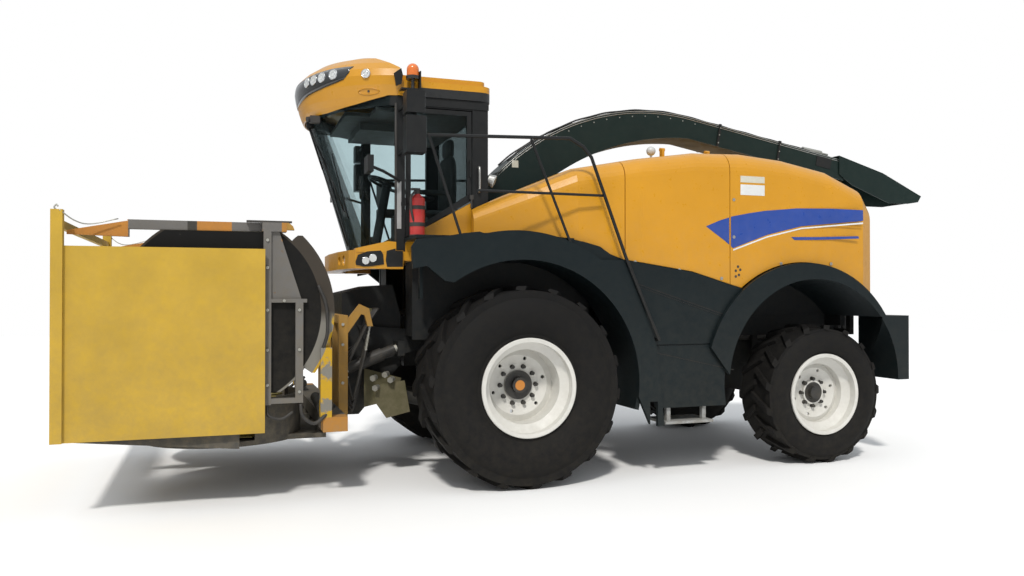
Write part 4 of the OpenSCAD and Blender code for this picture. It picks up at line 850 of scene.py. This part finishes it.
def hose_bundle(side, word):
    """Hoses that hang in loops between the feeder and the header's coupler."""
    bm = bmesh.new()
    for k in range(7):
        y = side * (700 + 14 * k)
        sag = random.uniform(-30, 30)
        path = [(1225 + 8 * k, y, 1390 - 34 * k), (1295, y + side * 20, 1120 + sag),
                (1330 + 6 * k, y + side * 24, 860 + sag), (1392, y + side * 12, 640 + 24 * k + sag),
                (1436, y, 760 + 30 * k)]
        add_hose(bm, path, 0.013 - 0.0006 * k, 8)
    for k in range(4):
        y = side * (655 + 26 * k)
        path = [(1180 - 10 * k, y, 1560), (1250, y + side * 26, 1480 - 20 * k),
                (1335, y + side * 22, 1250), (1420, y, 1180 - 36 * k)]
        add_hose(bm, path, 0.012, 8)
    piece("header_hoses_" + word, bm, HOSE, "header", smooth=True)
    bm = bmesh.new()
    for k in range(7):
        y = side * (700 + 14 * k)
        add_rod(bm, (1434, y, 758 + 30 * k), (1439.5, y, 766 + 30 * k), 0.015, 6)
        add_rod(bm, (1225 + 8 * k, y, 1386 - 34 * k), (1222 + 8 * k, y, 1424 - 34 * k), 0.014, 6)
    for x, z in ((1170, 930), (1060, 960), (1010, 910), (1150, 840)):
        add_rod(bm, (x, side * 702, z), (x + 30, side * 742, z - 6), 0.024, 12)
        add_rod(bm, (x + 30, side * 742, z - 6), (x + 36, side * 752, z - 8), 0.03, 6)
    piece("hose_couplings_" + word, bm, ZINC, "header")
    bm = bmesh.new()
    side_plate(bm, [(1000, 880), (900, 890), (850, 600), (1070, 550), (1180, 710), (1150, 860)], 690, 700)
    side_plate(bm, [(960, 700), (900, 900), (1250, 1000), (1250, 640)], 540, 550)
    add_box(bm, (1000, FEEDER_SIDE, 720), (1060, 690, 780))
    add_box(bm, (1200, FEEDER_SIDE, 1500), (1260, 690, 1560))
    piece("feeder_shields_" + word, bm, SHIELD, "header", side=side)


def lift_cylinder(side, word):
    """Cylinder under the feeder. Its rod's eye is left open on the machine's side."""
    bm = bmesh.new()
    add_rod(bm, (980, CYLINDER_Y, 760), (560, CYLINDER_Y, 640), 0.055, 24)
    add_rod(bm, (1000, CYLINDER_Y, 766), (960, CYLINDER_Y, 754), 0.062, 24)
    add_box(bm, (985, FEEDER_SIDE, 735), (1045, 600, 805))
    piece("lift_cylinder_" + word, bm, FRAME_DARK, "header", side=side)
    bm = mesh_of(add_rod, (560, CYLINDER_Y, 640), (430, CYLINDER_Y, 603), 0.03, 20)
    piece("lift_rod_" + word, bm, BRIGHT, "header", side=side)


def drive_shaft():
    bm = bmesh.new()
    add_rod(bm, (985, SHAFT_Y, 1180), (1420, SHAFT_Y, 1010), 0.05, 20)
    add_rod(bm, (1100, SHAFT_Y, 1135), (1300, SHAFT_Y, 1057), 0.062, 20)
    piece("drive_shaft_guard", bm, HOSE, "header")
    bm = bmesh.new()
    for x, z in ((975, 1184), (1425, 1008)):
        add_rod(bm, (x - 14, SHAFT_Y, z + 5), (x + 14, SHAFT_Y, z - 5), 0.036, 12)
    piece("drive_shaft_joints", bm, ZINC, "header")
    piece("drive_shaft_gearbox", mesh_of(add_box, (900, FEEDER_SIDE, 1120), (962, 700, 1250)), FRAME_DARK, "header")


def guard_fittings():
    """Wires of the road guard, with their hooks."""
    bm = bmesh.new()
    add_hoses(bm, [(3630, 1500, 2305), (3540, 1440, 2235), (3440, 1385, 2215), (3250, 1372, 2262)], 0.005, 6)
    add_hoses(bm, [(3640, 1500, 2330), (3650, 1490, 2345), (3665, 1490, 2325), (3655, 1490, 2308)], 0.006, 6)
    piece("guard_wires", bm, ZINC, "header", smooth=True)


def frame_fittings():
    # Dark caps on the top beams
    piece("wing_caps", mesh_of(add_box, (1970, BEAM_IN, 2262.5), (2320, BEAM_OUT, 2276)), PLASTIC, "header", side=BOTH)
    bm = bmesh.new()
    side_plate(bm, [(2009, 2205), (2009, 2262), (1994, 2262), (1962, 2236), (1950, 2205)], BEAM_IN, BEAM_OUT)
    piece("beam_ends", bm, COUPLER, "header", side=BOTH)
    bm = bmesh.new()
    y = BEAM_OUT + 0.5
    for x, z in ((2160, 2120), (2160, 1900), (2160, 1560), (2160, 1240), (2160, 960),
                 (1910, 1560), (1910, 1240), (1910, 900), (2030, 1635)):
        add_rod(bm, (x, y, z), (x, y + 12, z), 0.013, 6)
    for x, z in ((1485, 560), (1485, 900), (1485, 1240), (1485, 1420)):
        add_rod(bm, (x, 830.5, z), (x, 843, z), 0.014, 6)
    piece("header_bolts", bm, ZINC, "header", side=BOTH)
    bm = bmesh.new()
    add_hoses(bm, [(1900, 1395, 800), (1880, 1412, 700), (1790, 1412, 640), (1700, 1390, 700), (1620, 1300, 760)],
              0.016, 8)
    add_hoses(bm, [(2160, 1395, 795), (2150, 1420, 720), (2050, 1420, 690), (1960, 1400, 740)], 0.012, 8)
    add_hoses(bm, [(1722, 1385, 1240), (1690, 1420, 1380), (1700, 1415, 1600), (1760, 1395, 1760)], 0.014, 8)
    piece("wing_hoses", bm, HOSE, "header", smooth=True)
    # Fold cylinders of the wings and their rods
    bm = bmesh.new()
    add_rod(bm, (1700, 1180, 720), (1700, 620, 760), 0.045, 20)
    piece("fold_cylinders", bm, FRAME_DARK, "header", side=BOTH)
    piece("fold_rods", mesh_of(add_rod, (1700, 1300, 712), (1700, 1180, 720), 0.024, 16), BRIGHT, "header", side=BOTH)


for hand, hand_word in SIDES:
    hose_bundle(hand, hand_word)
    lift_cylinder(hand, hand_word)
drive_shaft()
guard_fittings()
frame_fittings()

# Spout: joint flange, bright strips that paint highlights along its edges, flap drive and rivets
SPOUT_ARC = (-1995, 1126, 2573)
SPOUT_TILT = radians(10)
SPOUT_HALF = 200
SPOUT_DEPTH = 240


def on_spout(run, rise, y):
    """A place by the spout's top: run past the bend's end, rise above the top; a negative run lies on the bend."""
    cx, cz, r = SPOUT_ARC
    r += rise
    if run < 0:
        turn = SPOUT_TILT + run / SPOUT_ARC[2]
        return at(cx - r * sin(turn), y, cz + r * cos(turn))
    return at(cx - run * cos(SPOUT_TILT) - r * sin(SPOUT_TILT), y,
              cz - run * sin(SPOUT_TILT) + r * cos(SPOUT_TILT))


def spout_strip(bm, run0, run1, rise0, rise1, y0, y1):
    """A block along the straight part of the spout."""
    corners = [on_spout(run, rise, y0) for run, rise in ((run0, rise0), (run1, rise0), (run1, rise1), (run0, rise1))]
    add_prism(bm, corners, (0, (y1 - y0) / 1000, 0))


def spout_fittings():
    bm = bmesh.new()
    # Painted highlights: thin bright steel strips along both sides of the spout's top stand for highlight lines on its
    # edges
    for side in (1, -1):
        for rise in (-7, -26):
            path = [on_spout(run, rise, side * (SPOUT_HALF + 1)) for run in range(-2500, 2101, 100)]
            add_hose(bm, path, 0.0035, 5, 1)
    piece("spout_highlight_strips", bm, BRIGHT, "spout", smooth=True)
    bm = bmesh.new()
    for run in (365, 1180):
        spout_strip(bm, run, run + 26, 0.5, 16, -SPOUT_HALF - 15, SPOUT_HALF + 15)
        for y0 in (-SPOUT_HALF - 15, SPOUT_HALF + 0.5):
            spout_strip(bm, run, run + 26, -SPOUT_DEPTH, 0.5, y0, y0 + 14.5)
    for y0 in (-SPOUT_HALF - 6, SPOUT_HALF + 0.5):
        spout_strip(bm, 1730, 1940, -150, -28, y0, y0 + 5.5)
    spout_strip(bm, 1640, 1700, 0.5, 70, -30, 30)
    piece("spout_flanges", bm, FRAME_DARK, "spout")
    bm = bmesh.new()
    for run in (372, 1187):
        for rise in (-30, -110, -200):
            y = SPOUT_HALF + 15
            add_rod(bm, on_spout(run + 6, rise, y), on_spout(run + 6, rise, y + 7), 0.008, 6)
    for k in range(12):
        y = SPOUT_HALF + 0.5
        add_rod(bm, on_spout(-1700 + 160 * k, -60, y), on_spout(-1700 + 160 * k, -60, y + 3), 0.007, 8)
    piece("spout_bolts", bm, ZINC, "spout", side=BOTH)
    bm = bmesh.new()
    add_rod(bm, on_spout(1660, 62, 0), on_spout(1930, 74, 0), 0.032, 20)
    add_rod(bm, on_spout(1930, 74, 0), on_spout(2030, 79, 0), 0.014, 14)
    piece("flap_drive", bm, ZINC, "spout")
    bm = bmesh.new()
    for side in (1, -1):
        path = [on_spout(-2300 + 180 * k, 12 + 6 * (k % 2), side * 150) for k in range(23)]
        add_hose(bm, path, 0.009, 8, 3)
    piece("spout_hoses", bm, HOSE, "spout", smooth=True)
    piece("spout_label", mesh_of(add_box, (-395, 200.5, 3000), (-325, 203, 3072)), LABEL, "spout")


# Wheel housings, radiator and fender ends
def arc_outline(center, radius, start, end, steps=16):
    turns = [radians(start + (end - start) * i / steps) for i in range(steps + 1)]
    return [(center[0] + radius * cos(turn), center[1] + radius * sin(turn)) for turn in turns]


def housings():
    bm = bmesh.new()
    arc = arc_outline((-3080, 830), 1004, 35, 145)
    side_plate(bm, arc, 640.5, 646)
    side_plate(bm, [(-2250, 1425), (-2250, 1250), (-3800, 1250), (-3900, 1120), (-4190, 1120), (-4190, 1480),
                    (-3900, 1480)], 647, 652)
    side_plate(bm, [(-920, 1270), (-920, 1990), (850, 1990), (850, 1270)], 790, 798)
    add_box(bm, (842, 500, 1300), (850, 790, 1990))
    piece("wheel_housings", bm, FRAME_DARK, side=BOTH)
    bm = bmesh.new()
    side_plate(bm, [(1010, 2080), (965, 2150), (780, 2168), (560, 2208), (420, 2225), (300, 2190), (700, 2040),
                    (880, 1925), (1000, 1900)], 1463, 1501.5)
    piece("fender_ends", bm, FENDER, side=BOTH)
    bm = bmesh.new()
    add_box(bm, (-3930, -900, 1350), (-3870, 900, 2250))
    for k in range(45):
        y = -880 + 40 * k
        add_box(bm, (-3936, y, 1370), (-3930, y + 14, 2230))
    piece("radiator_core", bm, FRAME_DARK)


def skirt_seams():
    bm = bmesh.new()
    seams = ((-1010, 1820, -2200, 1448, 9), (-1010, 1796, -2196, 1424, 5), (-1300, 1150, -2140, 968, 8))
    for x0, z0, x1, z1, wide in seams:
        side_plate(bm, [(x0, z0), (x1, z1), (x1, z1 - wide), (x0, z0 - wide)], 1458.3, 1461)
    piece("skirt_seams", bm, BLACK, side=BOTH)
    # Webs that close the gap between the bonnet's lower edge and the fender
    web = [(-300, 2080), (-360, 2190), (-570, 2162), (-730, 2122), (-840, 2052), (-962, 2010), (-962, 1950),
           (-800, 1900), (-500, 2000)]
    piece("fender_webs", mesh_of(side_plate, web, 1441, 1457), FENDER, side=BOTH)


def lamp_pods():
    """Black plates that paint the shade in the leaf-shaped lamp openings around the lamps, and in the open compartments
    behind them, on the sides of the cab's apron.
    """
    # Painted shade: thin flat black plates stand for the dark inside of the lamp openings and of the open compartments
    leaf_opening_shade = [(1143, 1953), (1250, 1936), (1320, 1932), (1392, 1946), (1396, 1972), (1374, 2034), (1290, 2066),
            (1172, 2076), (1150, 2040)]
    compartment_shade = [(1128, 1985), (1120, 2074), (1040, 2096), (1038, 2076), (973, 2076), (973, 1932), (1116, 1932)]
    bm = bmesh.new()
    side_plate(bm, leaf_opening_shade, 970.3, 971.8)
    side_plate(bm, compartment_shade, 970.3, 971.3)
    piece("lamp_pod_shade_plates", bm, BLACK, side=BOTH)
    rims, lenses = bmesh.new(), bmesh.new()
    for x, z, r in ((1306, 1984, 0.03), (1242, 2008, 0.032)):
        add_ring(rims, (x, 973, z), OUTWARD, r, 0.005, 28, 6)
        add_disc(lenses, (x, 972, z), OUTWARD, r, 0.006, 28)
    piece("headlamp_rims", rims, CHROME, smooth=True, side=BOTH)
    piece("headlamp_lenses", lenses, LENS, side=BOTH)


def beacon_guards():
    bm = bmesh.new()
    side_plate(bm, [(1066, 3650), (1000, 3700), (985, 3640), (998, 3560), (1046, 3540)], 1004, 1020)
    add_box(bm, (834, 992, 3512), (846, 1084, 3672))
    add_box(bm, (834, 992, 3500), (1012, 1084, 3514))
    piece("beacon_guards", bm, BLACK, side=BOTH)


# Rear end, right side and underside
def rear_end():
    boxes, rims = bmesh.new(), bmesh.new()
    for color, y, look in (("red", 1150, RED), ("amber", 1270, AMBER_LENS), ("white", 1390, LENS)):
        bm = bmesh.new()
        add_disc(bm, (-4233, y, 1360), (-1, 0, 0), 0.042, 0.01, 24)
        piece("rear_lamps_" + color, bm, look, side=BOTH)
        add_ring(rims, (-4234, y, 1360), (-1, 0, 0), 0.045, 0.005, 24, 6)
    add_box(boxes, (-4233, 1080, 1300), (-4230.5, 1460, 1420))
    piece("rear_lamp_rims", rims, CHROME, smooth=True, side=BOTH)
    piece("rear_lamp_boxes", boxes, PLASTIC, side=BOTH)
    piece("blank_plate", mesh_of(add_box, (-4233, -1460, 1040), (-4230.5, -1100, 1150)), LABEL)
    bm = bmesh.new()
    add_disc(bm, (-1500, -1458.3, 1560), (0, -1, 0), 0.085, 0.012, 32)
    add_disc(bm, (-1500, -1469, 1560), (0, -1, 0), 0.062, 0.022, 24)
    piece("fuel_cap", bm, PLASTIC)


def underside():
    bm = bmesh.new()
    for y in (-250, -205, 205, 250):
        path = [at(x, y + 14 * sin(x / 260), 1030 - 20 * cos(x / 330)) for x in range(-2900, -499, 300)]
        add_hose(bm, path, 0.013, 8, 3)
    add_hoses(bm, [(-2900, 250, 1020), (-3060, 330, 930), (-3110, 480, 850)], 0.012, 8)
    piece("chassis_hoses", bm, HOSE, smooth=True)
    bm = bmesh.new()
    add_rod(bm, (-2600, 0, 1010), (-900, 0, 960), 0.045, 24)
    for x, z in ((-2560, 1009), (-940, 961)):
        add_rod(bm, (x - 50, 0, z), (x + 50, 0, z), 0.075, 24)
    piece("drive_line", bm, FRAME_DARK)


def door_fittings():
    bm = bmesh.new()
    add_box(bm, (318, 952, 2560), (352, 978, 2600))
    add_rod(bm, (335, 970, 2480), (335, 970, 2600), 0.01, 10)
    piece("door_handle", bm, PLASTIC, "door")


spout_fittings()
housings()
skirt_seams()
lamp_pods()
beacon_guards()
rear_end()
underside()
door_fittings()


# Floor, light and camera
def stage_floor():
    bpy.ops.mesh.primitive_plane_add(size=60)
    floor = bpy.context.object
    floor.name = "floor"
    mat, tree, bsdf = new_material("floor_white")
    coord = place_coord(tree)
    tone = remap(tree, noise(tree, coord, 0.4), 0.3, 0.7)
    tree.links.new(mix_color(tree, tone, (0.94, 0.94, 0.94), (0.97, 0.97, 0.97)), bsdf.inputs["Base Color"])
    bsdf.inputs["Roughness"].default_value = 0.8
    floor.data.materials.append(mat)


def sun(name, direction, energy, size, color):
    data = bpy.data.lights.new(name, "SUN")
    data.energy = energy
    data.angle = radians(size)
    data.color = color
    lamp = bpy.data.objects.new(name, data)
    lamp.rotation_euler = Vector(direction).to_track_quat("-Z", "Y").to_euler()
    bpy.context.scene.collection.objects.link(lamp)


def world_light(sky, ground, strength):
    """A soft sky that is darker towards the ground; the camera sees it plain white, also through glass."""
    world = bpy.data.worlds.new("soft_studio")
    bpy.context.scene.world = world
    world.use_nodes = True
    tree = world.node_tree
    shade = tree.nodes["Background"]
    coord = tree.nodes.new("ShaderNodeTexCoord")
    up = split_coord(tree, coord.outputs["Generated"])[2]
    soft = mix_color(tree, remap(tree, up, -0.1, 0.7), ground, sky)
    rays = tree.nodes.new("ShaderNodeLightPath")
    seen = calc(tree, "MAXIMUM", rays.outputs["Is Camera Ray"], rays.outputs["Is Transmission Ray"])
    tree.links.new(mix_color(tree, seen, soft, (1.0, 1.0, 1.0)), shade.inputs["Color"])
    tree.links.new(calc(tree, "MAXIMUM", seen, strength), shade.inputs["Strength"])


CAMERA_AT = Vector((3.52, 8.397, 1.678))
CAMERA_YAW = 19.15
CAMERA_PITCH = 0.5
CAMERA_LENS = 29.59


def photo_camera():
    data = bpy.data.cameras.new("photo_camera")
    data.lens = CAMERA_LENS
    data.sensor_width = 36
    camera = bpy.data.objects.new("photo_camera", data)
    yaw = radians(CAMERA_YAW)
    pitch = radians(CAMERA_PITCH)
    look = Vector((-sin(yaw) * cos(pitch), -cos(yaw) * cos(pitch), sin(pitch)))
    camera.location = CAMERA_AT
    camera.rotation_euler = look.to_track_quat("-Z", "Y").to_euler()
    bpy.context.scene.collection.objects.link(camera)
    bpy.context.scene.camera = camera


stage_floor()
sun("key_sun", (-0.35, -0.75, -0.95), 2.3, 6.0, (1.0, 0.97, 0.92))
world_light((0.92, 0.96, 1.0), (0.32, 0.32, 0.32), 0.8)
photo_camera()
bpy.context.scene.view_settings.view_transform = "Standard"
